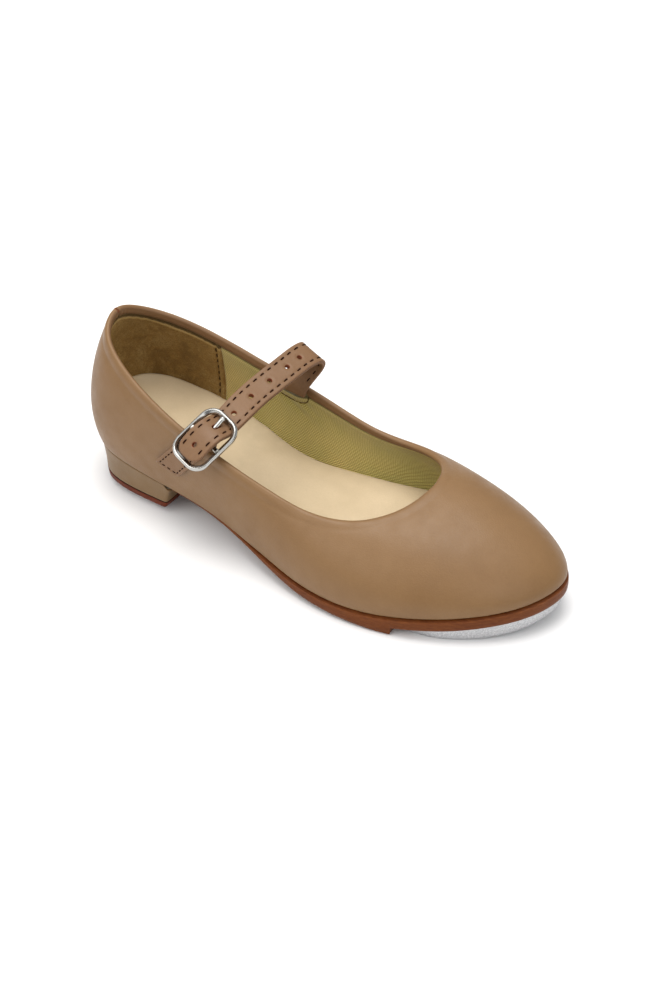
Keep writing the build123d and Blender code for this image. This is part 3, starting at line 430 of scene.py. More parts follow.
def twill(name, base, dark, light, pitch=0.62, tilt=-0.14):
    """ribbed twill: ribs of floats, each rib set half a float on from its neighbour"""
    m = M(name); v = m.mm(rot=(0, 0, tilt)); o = m.mm(kind="obj")
    sep = m.n("ShaderNodeSeparateXYZ")
    wob = m.noise(o, 0.12, 2, 0.5); wob2 = m.noise(o, 0.9, 3, 0.6)
    m.l(v, sep.inputs[0])
    y = m.math("ADD", sep.outputs[1], m.math("MULTIPLY", m.math("SUBTRACT", wob, 0.5), 0.9))
    y = m.math("ADD", y, m.math("MULTIPLY", m.math("SUBTRACT", wob2, 0.5), 0.12))
    q = m.math("DIVIDE", y, pitch)
    rib = m.math("MULTIPLY", m.math("ADD", m.math("COSINE", m.math("MULTIPLY", q, 2 * pi)), 1.0), 0.5)
    idx = m.math("FLOOR", m.math("ADD", q, 0.5))
    x = m.math("ADD", m.math("DIVIDE", sep.outputs[0], 0.78), m.math("MULTIPLY", idx, 0.38))
    fl = m.math("MULTIPLY", m.math("ADD", m.math("COSINE", m.math("MULTIPLY", x, 2 * pi)), 1.0), 0.5)
    fl = m.math("POWER", fl, 0.45)
    h = m.math("MULTIPLY", m.math("POWER", rib, 0.7), m.math("ADD", m.math("MULTIPLY", fl, 0.55), 0.45))
    yarn = m.noise(m.mm(scale=(0.6, 3.0, 3.0), kind="fab"), 2.2, 3, 0.7)
    h = m.math("ADD", h, m.math("MULTIPLY", m.math("SUBTRACT", yarn, 0.5), 0.25))
    big = m.noise(o, 0.05, 3, 0.5)
    c = m.ramp(h, [(0.05, dark), (0.45, base), (0.95, light)])
    tone = m.ramp(big, [(0.3, (0.80, 0.84, 0.72, 1)), (0.7, (1.10, 1.04, 1.0, 1))])
    c = m.mix(1.0, c, tone, "MULTIPLY")
    # painted shade: darker in hollows
    c = m.mix(m.math("MULTIPLY", m.cavity_shade(0.48, 0.40), 0.5), c, tuple(k * 0.5 for k in dark[:3]) + (1,))
    dn = m.n("ShaderNodeSeparateXYZ"); m.l(m.mm(), dn.inputs[0])
    c = m.mix(m.maprange(dn.outputs[1], 4.6, 6.4, 0.0, 1.0), m.mix(0.28, c, light), c)
    # painted shadow: a dark band at the lining's top, just under the rolled rim
    c = m.mix(m.maprange(dn.outputs[1], 4.9, 3.9, 0.0, 0.85), c, tuple(k * 0.22 for k in dark[:3]) + (1,))
    return m.set(color=c, rough=0.86, spec=0.18, sheen=0.25, sheen_rough=0.5, normal=m.bump(h, 0.16))


def brushed(name, base, dark, light):
    """brushed lining: short fibres lying every way, blotchy"""
    m = M(name); o = m.mm(kind="obj")
    warp = m.noise(o, 0.35, 3, 0.6)
    comb = m.n("ShaderNodeCombineXYZ")
    f1 = m.noise(m.mm(scale=(2.6, 0.7, 0.9), kind="obj", rot=(0.3, 0.2, 0.5)), 1.4, 5, 0.75, 1.2)
    f2 = m.noise(m.mm(scale=(0.8, 2.4, 1.6), kind="obj", rot=(0.9, 0.1, -0.4)), 1.6, 5, 0.75, 1.0)
    big = m.noise(o, 0.11, 4, 0.62, 0.8); blot = m.noise(o, 0.34, 5, 0.7, 0.5)
    k = m.math("ADD", m.math("MULTIPLY", f1, 0.5), m.math("MULTIPLY", f2, 0.5))
    c = m.mix(m.maprange(big, 0.5, 0.34, 0.0, 0.50), base, dark); c = m.mix(m.maprange(big, 0.5, 0.70, 0.0, 0.50), c, light)
    c = m.mix(m.maprange(blot, 0.52, 0.68, 0.0, 0.35), c, light)
    c = m.mix(m.maprange(k, 0.56, 0.42, 0.0, 0.80), c, dark)
    c = m.mix(m.maprange(f2, 0.60, 0.78, 0.0, 0.7), c, tuple(min(1, q * 1.5) for q in light[:3]) + (1,))
    dn = m.n("ShaderNodeSeparateXYZ"); m.l(m.mm(), dn.inputs[0])
    dw = m.math("ADD", dn.outputs[1], m.math("MULTIPLY", m.math("SUBTRACT", m.noise(o, 0.9, 3, 0.6), 0.5), 1.1))
    c = m.mix(m.maprange(dw, 6.0, 5.0, 0.0, 0.55), c, tuple(min(1, q * 1.25) for q in light[:3]) + (1,))
    # painted shadow: a dark band at the lining's top, just under the rolled rim
    c = m.mix(m.maprange(dw, 4.9, 4.3, 0.0, 0.9), c, tuple(q * 0.18 for q in dark[:3]) + (1,))
    return m.set(color=c, rough=0.95, spec=0.1, sheen=0.5, sheen_rough=0.6, sheen_tint=light, normal=m.bump(m.math("ADD", k, m.math("MULTIPLY", blot, 0.7)), 0.50))


def sock_mat(name, base, dark, light):
    """satin synthetic leather: very fine pebble"""
    m = M(name); o = m.mm(kind="obj")
    big = m.noise(o, 0.035, 3, 0.5); fine = m.noise(o, 1.6, 4, 0.7); peb = m.voronoi(o, 2.1, "SMOOTH_F1", 1.0, 0.5)
    c = m.ramp(big, [(0.3, dark), (0.5, base), (0.7, light)])
    c = m.mix(m.maprange(fine, 0.42, 0.66, 0.0, 0.20), c, dark)
    c = m.mix(m.maprange(m.noise(o, 0.22, 4, 0.6), 0.5, 0.7, 0.0, 0.25), c, light)
    # painted shade: darker in hollows
    c = m.mix(m.math("MULTIPLY", m.cavity_shade(0.48, 0.40), 0.35), c, tuple(k * 0.6 for k in dark[:3]) + (1,))
    h = m.math("ADD", m.math("MULTIPLY", peb, 0.8), m.math("MULTIPLY", fine, 0.5))
    return m.set(color=c, rough=m.maprange(fine, 0.3, 0.7, 0.42, 0.55), spec=0.4, sheen=0.15, normal=m.bump(h, 0.035))


def resin(name, base, dark, light, rough=0.42):
    """moulded or trimmed sole edge: fine streaks along the edge, lighter on convex edges as a painted highlight, fine
    darker scuffs all over
    """
    m = M(name); o = m.mm(kind="obj"); st = m.noise(m.mm(scale=(0.25, 0.25, 3.0), kind="obj"), 1.2, 4, 0.7)
    big = m.noise(o, 0.05, 3, 0.5); fine = m.noise(o, 1.1, 5, 0.7)
    c = m.ramp(st, [(0.3, dark), (0.5, base), (0.72, light)])
    c = m.mix(m.maprange(big, 0.35, 0.7, 0.0, 0.3), c, light)
    c = m.mix(m.maprange(fine, 0.45, 0.7, 0.0, 0.2), c, dark)
    # painted highlight: convex edges lighter
    c = m.mix(m.math("MULTIPLY", m.edge(0.52, 0.62), 0.35), c, tuple(min(1, q * 1.8) for q in light[:3]) + (1,))
    h = m.math("ADD", m.math("MULTIPLY", st, 0.6), m.math("MULTIPLY", fine, 0.5))
    return m.set(color=c, rough=m.maprange(fine, 0.3, 0.7, rough - 0.02, rough + 0.18), spec=0.12, normal=m.bump(h, 0.07), coat=0.04, coat_rough=0.3)


def metal(name, color, rough=0.18, spot=0.06, cast=0.0, aniso=0.0, dark=0.35):
    m = M(name); o = m.mm(kind="obj")
    big = m.noise(o, 0.20, 3, 0.6); fine = m.noise(o, 3.2, 4, 0.7)
    scr = m.noise(m.mm(scale=(6.0, 0.5, 1.2), kind="obj", rot=(0.2, 0.4, 0.8)), 1.0, 3, 0.6)
    r = m.maprange(big, 0.3, 0.7, max(0.03, rough - spot), rough + spot)
    r = m.math("ADD", r, m.math("MULTIPLY", m.maprange(scr, 0.55, 0.75, 0.0, 1.0), 0.10))
    c = m.mix(m.maprange(fine, 0.35, 0.75, 0.0, 0.35 if cast else 0.12), color, tuple(q * dark for q in color[:3]) + (1,))
    # painted shade: darker in hollows
    c = m.mix(m.math("MULTIPLY", m.cavity_shade(0.48, 0.38), 0.5), c, tuple(q * 0.25 for q in color[:3]) + (1,))
    h = m.math("ADD", m.math("MULTIPLY", fine, 0.5 + cast), m.math("MULTIPLY", scr, 0.4))
    return m.set(color=c, metal=1.0, rough=r, normal=m.bump(h, 0.012 + 0.10 * cast), aniso=aniso)


def cast_tap(name):
    """ground cast aluminium: fine bright and dark grain"""
    m = M(name); o = m.mm(kind="obj")
    g1 = m.noise(o, 2.4, 5, 0.8); g2 = m.voronoi(o, 1.9, "F1", 1.0); big = m.noise(o, 0.12, 3, 0.5)
    c = m.ramp(g1, [(0.32, (0.24, 0.24, 0.25, 1)), (0.5, (0.50, 0.50, 0.51, 1)), (0.66, (0.80, 0.80, 0.80, 1))])
    c = m.mix(m.maprange(big, 0.4, 0.7, 0.0, 0.2), c, (0.55, 0.56, 0.58, 1))
    # painted shade: darker in hollows
    c = m.mix(m.math("MULTIPLY", m.cavity_shade(0.48, 0.38), 0.6), c, (0.12, 0.12, 0.13, 1))
    h = m.math("ADD", m.math("MULTIPLY", g1, 0.7), m.math("MULTIPLY", g2, 0.3))
    return m.set(color=c, metal=0.82, rough=m.maprange(g1, 0.3, 0.7, 0.38, 0.58), normal=m.bump(h, 0.06))


def board_mat(name, base, dark, light, scale=1.0):
    m = M(name); o = m.mm(kind="obj")
    sp = m.voronoi(o, 1.4 * scale, "F1", 1.0); fi = m.noise(m.mm(scale=(3.0, 0.6, 1.0), kind="obj"), 1.6 * scale, 4, 0.75)
    c = m.ramp(fi, [(0.3, dark), (0.5, base), (0.72, light)])
    c = m.mix(m.maprange(sp, 0.25, 0.05, 0.0, 0.5), c, dark)
    return m.set(color=c, rough=m.maprange(fi, 0.3, 0.7, 0.75, 0.95), spec=0.15, normal=m.bump(m.math("ADD", fi, sp), 0.10))


def thread_mat(name, base, dark, light):
    """twisted sewing thread"""
    m = M(name); v = m.mm(); sep = m.n("ShaderNodeSeparateXYZ"); m.l(v, sep.inputs[0])
    tw = m.math("ADD", m.math("MULTIPLY", sep.outputs[0], 2 * pi / 0.34), m.math("MULTIPLY", sep.outputs[1], 2 * pi / 0.5))
    h = m.math("MULTIPLY", m.math("ADD", m.math("COSINE", tw), 1.0), 0.5)
    c = m.mix(m.maprange(h, 0.0, 0.55, 1.0, 0.0), base, dark)
    c = m.mix(m.maprange(m.noise(m.mm(kind="obj"), 2.5, 3, 0.6), 0.5, 0.7, 0.0, 0.5), c, light)
    return m.set(color=c, rough=0.85, spec=0.08, sheen=0.0, normal=m.bump(h, 0.06))


TAN, TAN_D, TAN_L = srgb(123, 91, 55), srgb(100, 70, 38), srgb(142, 110, 72)
MAT = dict(
    upper=leather("upper_leather", TAN, TAN_D, TAN_L),
    binding=leather("binding_leather", srgb(114, 82, 50), srgb(78, 50, 28), srgb(142, 110, 76), grain=0.5, rough=0.48),
    strap=leather("strap_leather", srgb(118, 85, 54), srgb(94, 65, 40), srgb(142, 109, 76), grain=0.5, rough=0.47, bump=0.06),
    rawedge=leather("leather_edge", srgb(120, 86, 58), srgb(56, 32, 20), srgb(164, 130, 98), grain=0.35, rough=0.7, bump=0.10, coat=0.0),
    back=leather("strap_back_leather", srgb(116, 84, 54), srgb(84, 56, 34), srgb(144, 112, 78), grain=0.4, rough=0.62, bump=0.08, coat=0.0),
    heel=leather("heel_leather", srgb(117, 90, 56), srgb(94, 70, 42), srgb(136, 108, 72), grain=0.5, rough=0.46),
    twill=twill("twill_lining", srgb(176, 156, 86), srgb(108, 90, 40), srgb(226, 210, 138)),
    brushed=brushed("brushed_lining", srgb(145, 112, 60), srgb(92, 65, 29), srgb(184, 155, 102)),
    sock=sock_mat("sock_leather", srgb(196, 175, 141), srgb(180, 161, 129), srgb(208, 187, 153)),
    sole=resin("sole_resin", srgb(98, 50, 18), srgb(74, 34, 11), srgb(118, 66, 28)),
    lift=resin("lift_resin", srgb(92, 36, 16), srgb(58, 20, 10), srgb(118, 56, 28), rough=0.42),
    # near-black resin for the lift's top edge: painted shadow in the gap under the heel cover
    dark=resin("painted_shadow_edge", srgb(38, 20, 12), srgb(20, 10, 7), srgb(60, 34, 20), rough=0.6),
    nickel=metal("nickel", (0.46, 0.455, 0.43, 1), rough=0.17),
    prong=metal("nickel_prong", (0.62, 0.615, 0.58, 1), rough=0.15),
    steel=metal("screw_steel", (0.50, 0.50, 0.50, 1), rough=0.30, cast=0.2),
    nail=metal("nail_steel", (0.34, 0.34, 0.35, 1), rough=0.4, cast=0.3),
    spring=metal("spring_steel", (0.38, 0.39, 0.41, 1), rough=0.35, cast=0.1),
    tap=cast_tap("tap_aluminium"),
    fibre=board_mat("fibreboard", srgb(150, 128, 98), srgb(112, 92, 66), srgb(182, 162, 130)),
    cork=board_mat("cork_filler", srgb(158, 122, 80), srgb(96, 66, 38), srgb(196, 160, 112), 0.7),
    stiff=board_mat("stiffener_sheet", srgb(214, 208, 192), srgb(190, 182, 164), srgb(232, 228, 214), 1.4),
    foam=board_mat("pale_foam", srgb(218, 210, 186), srgb(190, 180, 152), srgb(236, 230, 210), 1.8),
    core=board_mat("heel_core", srgb(170, 160, 140), srgb(140, 130, 110), srgb(196, 188, 168), 0.8),
    thread=thread_mat("dark_thread", srgb(44, 20, 11), srgb(18, 8, 5), srgb(72, 38, 22)),
    thread_lining=thread_mat("lining_thread", srgb(72, 50, 18), srgb(34, 22, 7), srgb(112, 88, 42)),
    hole=leather("hole_wall", srgb(140, 78, 48), srgb(84, 40, 22), srgb(172, 108, 74), grain=0.3, rough=0.75, bump=0.08, coat=0.0),
)

# ------------------------------------------------------------------ upper with its rolled topline
BIND = 3.7      # depth of the rolled edge inside
WALL = T_UPPER + GAP + T_BINDING


def bend_noise(s, d, amp, seed, n=9, smin=6, smax=26):
    """smooth undulation over (arc mm, depth mm), repeatable"""
    g = np.random.default_rng(seed); out = np.zeros_like(s)
    for _ in range(n):
        w = g.uniform(smin, smax); a = g.uniform(0, 2 * pi); ph = g.uniform(0, 2 * pi)
        out += np.cos((s * cos(a) + d * sin(a)) * 2 * pi / w + ph) / n
    return out * amp * 2.2


def upper_piece():
    ns = 700
    s = np.linspace(0, 1, ns, endpoint=False)
    # denser stations near the back seam
    s = (s - 0.010 * np.sin(2 * pi * s) / (2 * pi) * 8) % 1.0
    s = np.sort(s)
    top = np.interp(s, S_LEN, TOP_ARC); total = TOP_ARC[-1]
    ds = np.minimum(top, total - top)                        # mm from the back seam along the topline
    L = np.interp(s, S_LEN, W_LEN)
    vs = []; ds_ = []
    # outer face: from the feather line up; row parameters are v
    vo = np.concatenate([np.linspace(0, 0.06, 6)[:-1], np.linspace(0.06, 0.80, 44)])
    rows = []; fab = []
    for v in vo:
        V = np.full(ns, v); rows.append((V, np.zeros(ns)))
    # last 6 mm below the rim on dense rows, by distance
    dn = np.array([5.6, 4.9, 4.3, 3.8, 3.4, 3.0, 2.6, 2.2, 1.8, 1.45])
    keep = v_of(s, np.full(ns, 6.2))
    P = []
    FAB = []
    for V, D in rows:
        V = np.minimum(V, keep * (0.0 + V / 0.80)) if V[0] > 0.06 else V
        dd = down_of(s, V)
        base = ply_point(s, V, D)
        n_, _ = wall_normal(s, V)
        off = relief(s, V, dd, top, total)
        tuck = 0.55 * np.clip(1 - (L - dd) / 1.3, 0, 1) ** 2.0       # lasted edge rolls under at the feather line
        base = base + n_ * (off - tuck)[:, None]
        P.append(base); FAB.append(np.stack([top, dd, 0 * top], -1))
    for d in dn:
        V = v_of(s, np.full(ns, d)); dd = np.full(ns, d)
        base = ply_point(s, V, np.zeros(ns)); n_, _ = wall_normal(s, V)
        off = relief(s, V, dd, top, total)
        P.append(base + n_ * off[:, None]); FAB.append(np.stack([top, dd, 0 * top], -1))
    # rim: half round over the top, then the rolled inner face
    v1 = v_of(s, np.full(ns, 1.1)); n1, p1 = wall_normal(s, v1)
    vv = v_of(s, np.full(ns, 0.0)); pt = surf(s, vv)
    up = pt - p1; up /= np.linalg.norm(up, axis=1, keepdims=True)
    seam_top = np.exp(-(ds / 0.55) ** 2) * 0.45 + np.exp(-(ds / 2.2) ** 2) * 0.10
    near_strap = np.exp(-((top - STRAP_TOP) / 5.5) ** 2)
    c = p1 - n1 * (WALL / 2 + 0.06)[None] if False else p1 - n1 * (WALL / 2)
    for k, th in enumerate(np.linspace(0.08, 0.92, 11) * pi):
        rr = WALL / 2 + 0.05
        q = c + n1 * (cos(th) * rr) + up * (sin(th) * 1.08)
        q = q - up * (seam_top * sin(th))[:, None]
        q = q + n1 * (bend_noise(top, 0 * top + k * 0.4, 0.03, 5))[:, None]
        P.append(q); FAB.append(np.stack([top, -th * 1.1 + 0 * top, 0 * top], -1))
    inner = np.linspace(0.0, 1.0, 12)
    for t in inner:
        d = 1.2 + t * (BIND - 1.2)
        V = v_of(s, np.full(ns, d)); n_, p_ = wall_normal(s, V)
        bulge = 0.62 * np.sin(pi * (0.10 + 0.86 * t)) ** 0.8
        pinch = near_strap * 0.25 * np.cos(top * 2 * pi / 2.3)
        dep = WALL + bulge + pinch * 0.3 - 0.05
        wr = np.exp(-(ds / 4.0) ** 2) * 0.22 * np.cos(ds * 2 * pi / 1.9 + t * 3)      # puckers beside the back seam
        dep = dep + wr - np.exp(-(ds / 0.5) ** 2) * 0.5
        q = p_ - n_ * dep[:, None]
        P.append(q); FAB.append(np.stack([top, -3.4 - d + 0 * top, 0 * top], -1))
    for d, dep in ((BIND + 0.18, WALL + 0.15), (BIND + 0.22, WALL - 0.2), (BIND + 0.1, WALL - 0.6), (BIND + 0.3, T_UPPER)):
        V = v_of(s, np.full(ns, d)); n_, p_ = wall_normal(s, V)
        P.append(p_ - n_ * dep); FAB.append(np.stack([top, -7.4 - 0 * top, 0 * top], -1))
    for v in np.linspace(0.92, 0.0, 14):
        V = v * v_of(s, np.full(ns, BIND + 0.5)) / 0.92 if v > 0 else 0 * s
        p_ = ply_point(s, V, np.full(ns, T_UPPER))
        P.append(p_); FAB.append(np.stack([top, -8.5 + 0 * top, 0 * top], -1))
    P = np.array(P); nr = len(P)
    n_out = len(rows) + len(dn)
    F = quads(nr, ns, wrap_u=True, wrap_v=True)
    fm = np.zeros(len(F), int)
    r_idx = np.repeat(np.arange(nr), ns)
    fm[(r_idx >= n_out + 5)] = 1
    return make("upper_with_rolled_topline", P, F, [MAT["upper"], MAT["binding"]], "shoe", fmat=fm, fab=np.array(FAB), slot="upper_leather", replaces=("upper", "topline_binding"))


def relief(s, V, dd, top, total):
    """small modelling of the outer face, in mm outwards: topline crease, back seam, counter edge, soft undulation"""
    ds = np.minimum(top, total - top)
    off = 0.20 * np.exp(-((dd - 2.0) / 1.5) ** 2) - 0.13 * np.exp(-((dd - 4.6) / 0.85) ** 2)
    # back seam: a pressed closed seam running down the back
    sa = np.interp(s, S_LEN, FEA_ARC); fs = np.minimum(sa, FEA_ARC[-1] - sa)
    w = V; dist = ds * w + fs * (1 - w)
    off = off - 0.34 * np.exp(-(dist / 0.42) ** 2) + 0.12 * np.exp(-((dist - 1.5) / 0.9) ** 2)
    # top edge of the heel counter showing through the leather, running parallel to the topline
    sd = np.minimum(s, 1 - s)
    line = np.interp(sd, [0.0, 0.02, 0.0675, 0.083, 0.12], [0.885, 0.88, 0.86, 0.83, 0.74]); fade = np.clip((0.125 - sd) / 0.05, 0, 1)
    mm_ = (V - line) * np.interp(s, S_LEN, W_LEN)
    off = off + fade * (0.15 * np.exp(-(mm_ / 0.55) ** 2) - 0.16 / (1 + np.exp(-mm_ / 0.6)))
    # distance to the toe puff's edge, worked out but not applied; then a soft undulation
    lp = 0.10
    mm_ = np.minimum((s - 0.40), (0.60 - s)) * FEA_ARC[-1]
    off = off + bend_noise(top, dd, 0.05, 11, smin=14, smax=50)
    return off


STRAP_TOP = float(np.interp(0.806, S_LEN, TOP_ARC))     # where the strap dips inside the medial topline

upper_piece()


# ------------------------------------------------------------------ linings
def puff(verts, faces, pinned, pressure, cap_mm, seed_name, stiff=12.0, frames=20):
    """swells a sheet with a short cloth simulation; returns the moved points. verts in last mm"""
    P0 = row(verts)
    me = bpy.data.meshes.new("sim_" + seed_name); me.from_pydata((P0 * 10).tolist(), [], [list(map(int, f)) for f in faces]); me.update()
    o = bpy.data.objects.new("sim_" + seed_name, me); bpy.context.scene.collection.objects.link(o)
    g = o.vertex_groups.new(name="pin"); g.add([int(i) for i in pinned], 1.0, "REPLACE")
    md = o.modifiers.new("cloth", "CLOTH"); st = md.settings
    st.quality = 6; st.mass = 0.25; st.tension_stiffness = stiff; st.compression_stiffness = stiff; st.shear_stiffness = stiff * 0.6; st.bending_stiffness = 0.6
    st.vertex_group_mass = "pin"; st.use_pressure = True; st.uniform_pressure_force = pressure; st.effector_weights.gravity = 0.0
    md.collision_settings.use_collision = False; md.collision_settings.use_self_collision = False
    sc = bpy.context.scene; md.point_cache.frame_start = 1; md.point_cache.frame_end = frames
    for f in range(1, frames + 1):
        sc.frame_set(f)
    dg = bpy.context.evaluated_depsgraph_get(); ev = o.evaluated_get(dg); m2 = ev.to_mesh()
    Q = np.array([v.co for v in m2.vertices], float) / 10; ev.to_mesh_clear()
    bpy.data.objects.remove(o); sc.frame_set(1)
    D = (Q - P0) * 1000.0
    if not np.isfinite(D).all():
        return np.asarray(verts, float)
    n = np.linalg.norm(D, axis=1, keepdims=True); k = cap_mm * np.tanh(n / cap_mm) / np.maximum(n, 1e-9)
    return np.asarray(verts, float) + D * k


def s_arc(s, w=0.5):
    a = np.interp(np.asarray(s) % 1.0, S_LEN, TOP_ARC); b = np.interp(np.asarray(s) % 1.0, S_LEN, FEA_ARC)
    return a * w + b * (1 - w)


def lining_grid(s0, s1, ns, depth, nv=46, low=0.0, extra=None):
    """grid of (s, v) and the surface at the given depth, dipping under the rolled edge at its top"""
    s = np.linspace(s0, s1, ns); sm = s % 1.0
    vt = v_of(sm, np.full(ns, BIND - 0.9))
    t = np.linspace(0, 1, nv) ** 0.9
    V = low + (vt[:, None] - low) * t[None, :]
    S = np.repeat(sm[:, None], nv, 1)
    dd = down_of(S, V)
    dep = depth - 0.95 * np.clip(1 - (dd - (BIND - 0.9)) / 2.6, 0, 1) ** 1.5
    return s, S, V, dd, dep


def lining_piece(name, s0, s1, ns, depth, thick, mat, slot, replaces, seed, edge_fold=False, amp=0.16):
    s, S, V, dd, dep = lining_grid(s0, s1, ns, depth + thick)
    arc = s_arc(S, 0.5)
    if edge_fold:
        arc = np.where(s[:, None] < 0, arc - 1e3 * 0 - (TOP_ARC[-1] * 0.5 + FEA_ARC[-1] * 0.5) * (S > 0.5), arc)
    und = bend_noise(arc, dd, amp, seed, smin=9, smax=34)
    inner = dep + und * np.clip((dd - BIND) / 3, 0, 1)
    es = np.minimum(s - s0, s1 - s)[:, None] * (TOP_ARC[-1] + FEA_ARC[-1]) / 2
    if edge_fold:      # turned and stitched front edge: a soft roll, then the stitch line's groove
        inner = inner + 0.55 * np.exp(-((es - 0.8) / 0.58) ** 2) - 0.40 * np.exp(-((es - 1.95) / 0.30) ** 2) + 0.16 * np.exp(-((es - 2.9) / 0.7) ** 2)
        inner = inner - 0.5 * np.clip(1 - es / 0.45, 0, 1) ** 2
    else:
        near = np.exp(-((arc - s_arc(0.806)) / 9) ** 2) * np.exp(-((dd - 9) / 5) ** 2)
        inner = inner + near * 0.35 * np.cos((arc * 0.6 + dd) * 2 * pi / 7.5)
    A = ply_point(S, V, inner); B = ply_point(S, V, np.full(S.shape, depth) - 0.95 * np.clip(1 - (dd - (BIND - 0.9)) / 2.6, 0, 1) ** 1.5)
    mid = ply_point(S, V, (inner + depth) / 2 + 0.02)
    fabg = np.stack([arc, dd, 0 * dd], -1)
    Vt, F = slab(A, B, [mid])
    per_fab = slab(fabg, fabg, [fabg])[0]
    return make(name, Vt, F, mat, "shoe", fab=per_fab, slot=slot, replaces=replaces)


D_VAMP = T_UPPER + GAP + 0.60 + GAP
D_HEEL = T_UPPER + GAP + 0.85 + GAP
lining_piece("forepart_twill_lining", SEAM_S + 0.0006, 1 - SEAM_S - 0.0006, 420, D_VAMP, T_LINING, MAT["twill"], "twill_lining", ("vamp_lining",), 21)
lining_piece("heel_brushed_lining", -SEAM_S - 0.0012, SEAM_S + 0.0012, 260, D_HEEL, T_HEEL_LINING, MAT["brushed"], "heel_lining", ("heel_lining",), 22, edge_fold=True, amp=0.22)

# stitches down the seam between the two linings
bag = Bag()
for sc in (SEAM_S + 0.0012, 1 - SEAM_S - 0.0012):
    back = -1 if sc < 0.5 else 1
    for d in np.arange(BIND + 2.2, 27, 2.9):
        ss = sc + back * 2.0 / ((TOP_ARC[-1] + FEA_ARC[-1]) / 2)
        pts = []
        for dd_ in (d, d + 1.75):
            v = v_of(np.array([ss]), np.array([dd_])); 
            if float(v[0]) < 0.12:
                pts = []; break
            n_, _ = wall_normal(np.array([ss]), v); p = ply_point(np.array([ss]), v, np.array([D_HEEL + T_HEEL_LINING - 0.18]))
            pts.append((p[0], -n_[0]))
        if len(pts) == 2:
            stitch(bag, pts[0][0], pts[1][0], pts[0][1], r=0.28, sink=0.3, rise=0.12)
bag.make("lining_seam_stitches", MAT["thread_lining"], body="shoe", slot="heel_lining")

# overcast stitches where the rolled edge is joined over the back seam
bag = Bag()
for k, th in enumerate(np.linspace(0.18, 0.92, 5) * pi):
    s1_ = np.array([0.0015]); v1 = v_of(s1_, np.array([1.1])); n1, p1 = wall_normal(s1_, v1); up = surf(s1_, v_of(s1_, np.array([0.0]))) - p1; up /= np.linalg.norm(up)
    c = p1 - n1 * (WALL / 2)
    q = (c + n1 * (cos(th) * (WALL / 2 - 0.12)) + up * (sin(th) * 0.82))[0]
    nn_ = (n1[0] * cos(th) + up[0] * sin(th)); side = np.cross(nn_, (0, 0, 1.0)) if abs(nn_[2]) < 0.9 else np.array((0, 1.0, 0))
    side = np.array((0.12 * (-1) ** k, 1.0, 0.1)); side -= nn_ * (side @ nn_); side /= np.linalg.norm(side)
    stitch(bag, q - side * 0.85, q + side * 0.85, nn_, r=0.17, sink=0.22, rise=0.12)
bag.make("back_seam_overcast", thread_mat("seam_thread", srgb(132, 78, 50), srgb(84, 44, 26), srgb(168, 112, 78)), body="shoe", slot="upper_leather")


# ------------------------------------------------------------------ insole: padded sock
def inner_outline(hgt, clear, s):
    vv = np.linspace(0.0, 0.8, 90); S, V = np.meshgrid(s, vv, indexing="ij")
    dist = np.minimum(s, 1 - s)
    k = np.clip((SEAM_S + 0.012 - dist) / 0.012, 0, 1)
    dep = (D_VAMP + T_LINING) * (1 - k) + (D_HEEL + T_HEEL_LINING) * k + clear
    P = ply_point(S, V, np.repeat(dep[:, None], V.shape[1], 1)); H = P[..., 2] - zf(P[..., 0])
    out = np.zeros((len(s), 2)); given = hgt
    for i in range(len(s)):
        hgt = float(pad_edge(P[i, 20, 0])) if given is None else given
        j = max(1, int(np.argmax(H[i] >= hgt))); w = (hgt - H[i, j - 1]) / (H[i, j] - H[i, j - 1])
        out[i] = P[i, j - 1, :2] * (1 - w) + P[i, j, :2] * w
    return out


def grid_cols(outline, n_cols, n_rows, x_stop=None, breaks=None):
    """columns of constant x across a closed outline given from the back round the lateral side to the back again"""
    x, y = outline[:, 0], outline[:, 1]; a, b = int(np.argmin(x)), int(np.argmax(x)); N = len(x)
    rot = lambda k: np.roll(outline, -k, 0)
    o = rot(a); b = (b - a) % N
    lat = o[:b + 1]; med = np.concatenate([o[b:], o[:1]])[::-1]
    lat = lat[np.argsort(lat[:, 0], kind="stable")]; med = med[np.argsort(med[:, 0], kind="stable")]
    x0, x1 = x.min(), x.max()
    if breaks is None:
        u = (1 - np.cos(np.linspace(0, pi, n_cols))) / 2; X = x0 + (x1 - x0) * u
    else:
        xb = breaks; k = int(n_cols * (xb[0] - x0) / (x1 - x0))
        ua = np.sin(np.linspace(0, pi / 2, k)) if False else (1 - np.cos(np.linspace(0, pi / 2, k)))
        ua = 1 - np.cos(np.linspace(0, pi * 0.5, k)); A = x0 + (xb[0] - x0) * ua
        ub = np.sin(np.linspace(0, pi / 2, n_cols - k)); B = xb[-1] + (x1 - xb[-1]) * ub
        X = np.concatenate([A[:-1], xb, B[1:]])
    yl = np.interp(X, lat[:, 0], lat[:, 1]); ym = np.interp(X, med[:, 0], med[:, 1])
    q = np.linspace(0, 1, n_rows)[None, :]
    Y = yl[:, None] * (1 - q) + ym[:, None] * q
    return np.stack([np.repeat(X[:, None], n_rows, 1), Y], -1), X


def with_z(g, z):
    return np.concatenate([g, z[..., None]], -1)


def pad_edge(x):
    """height of the sock's edge over the sole's top along the shoe"""
    return np.interp(x, [2.7, 6, 10, 15, 20, 26, 32, 40, 51, 58, 63, 69, 74, 80, 88, 94, 101, 110, 123, 150, 195], [11.0, 10.8, 10.1, 9.5, 9.0, 8.7, 8.9, 8.6, 7.6, 6.7, 5.5, 4.5, 4.1, 4.1, 4.9, 5.5, 6.0, 6.3, 6.8, 6.6, 6.2])


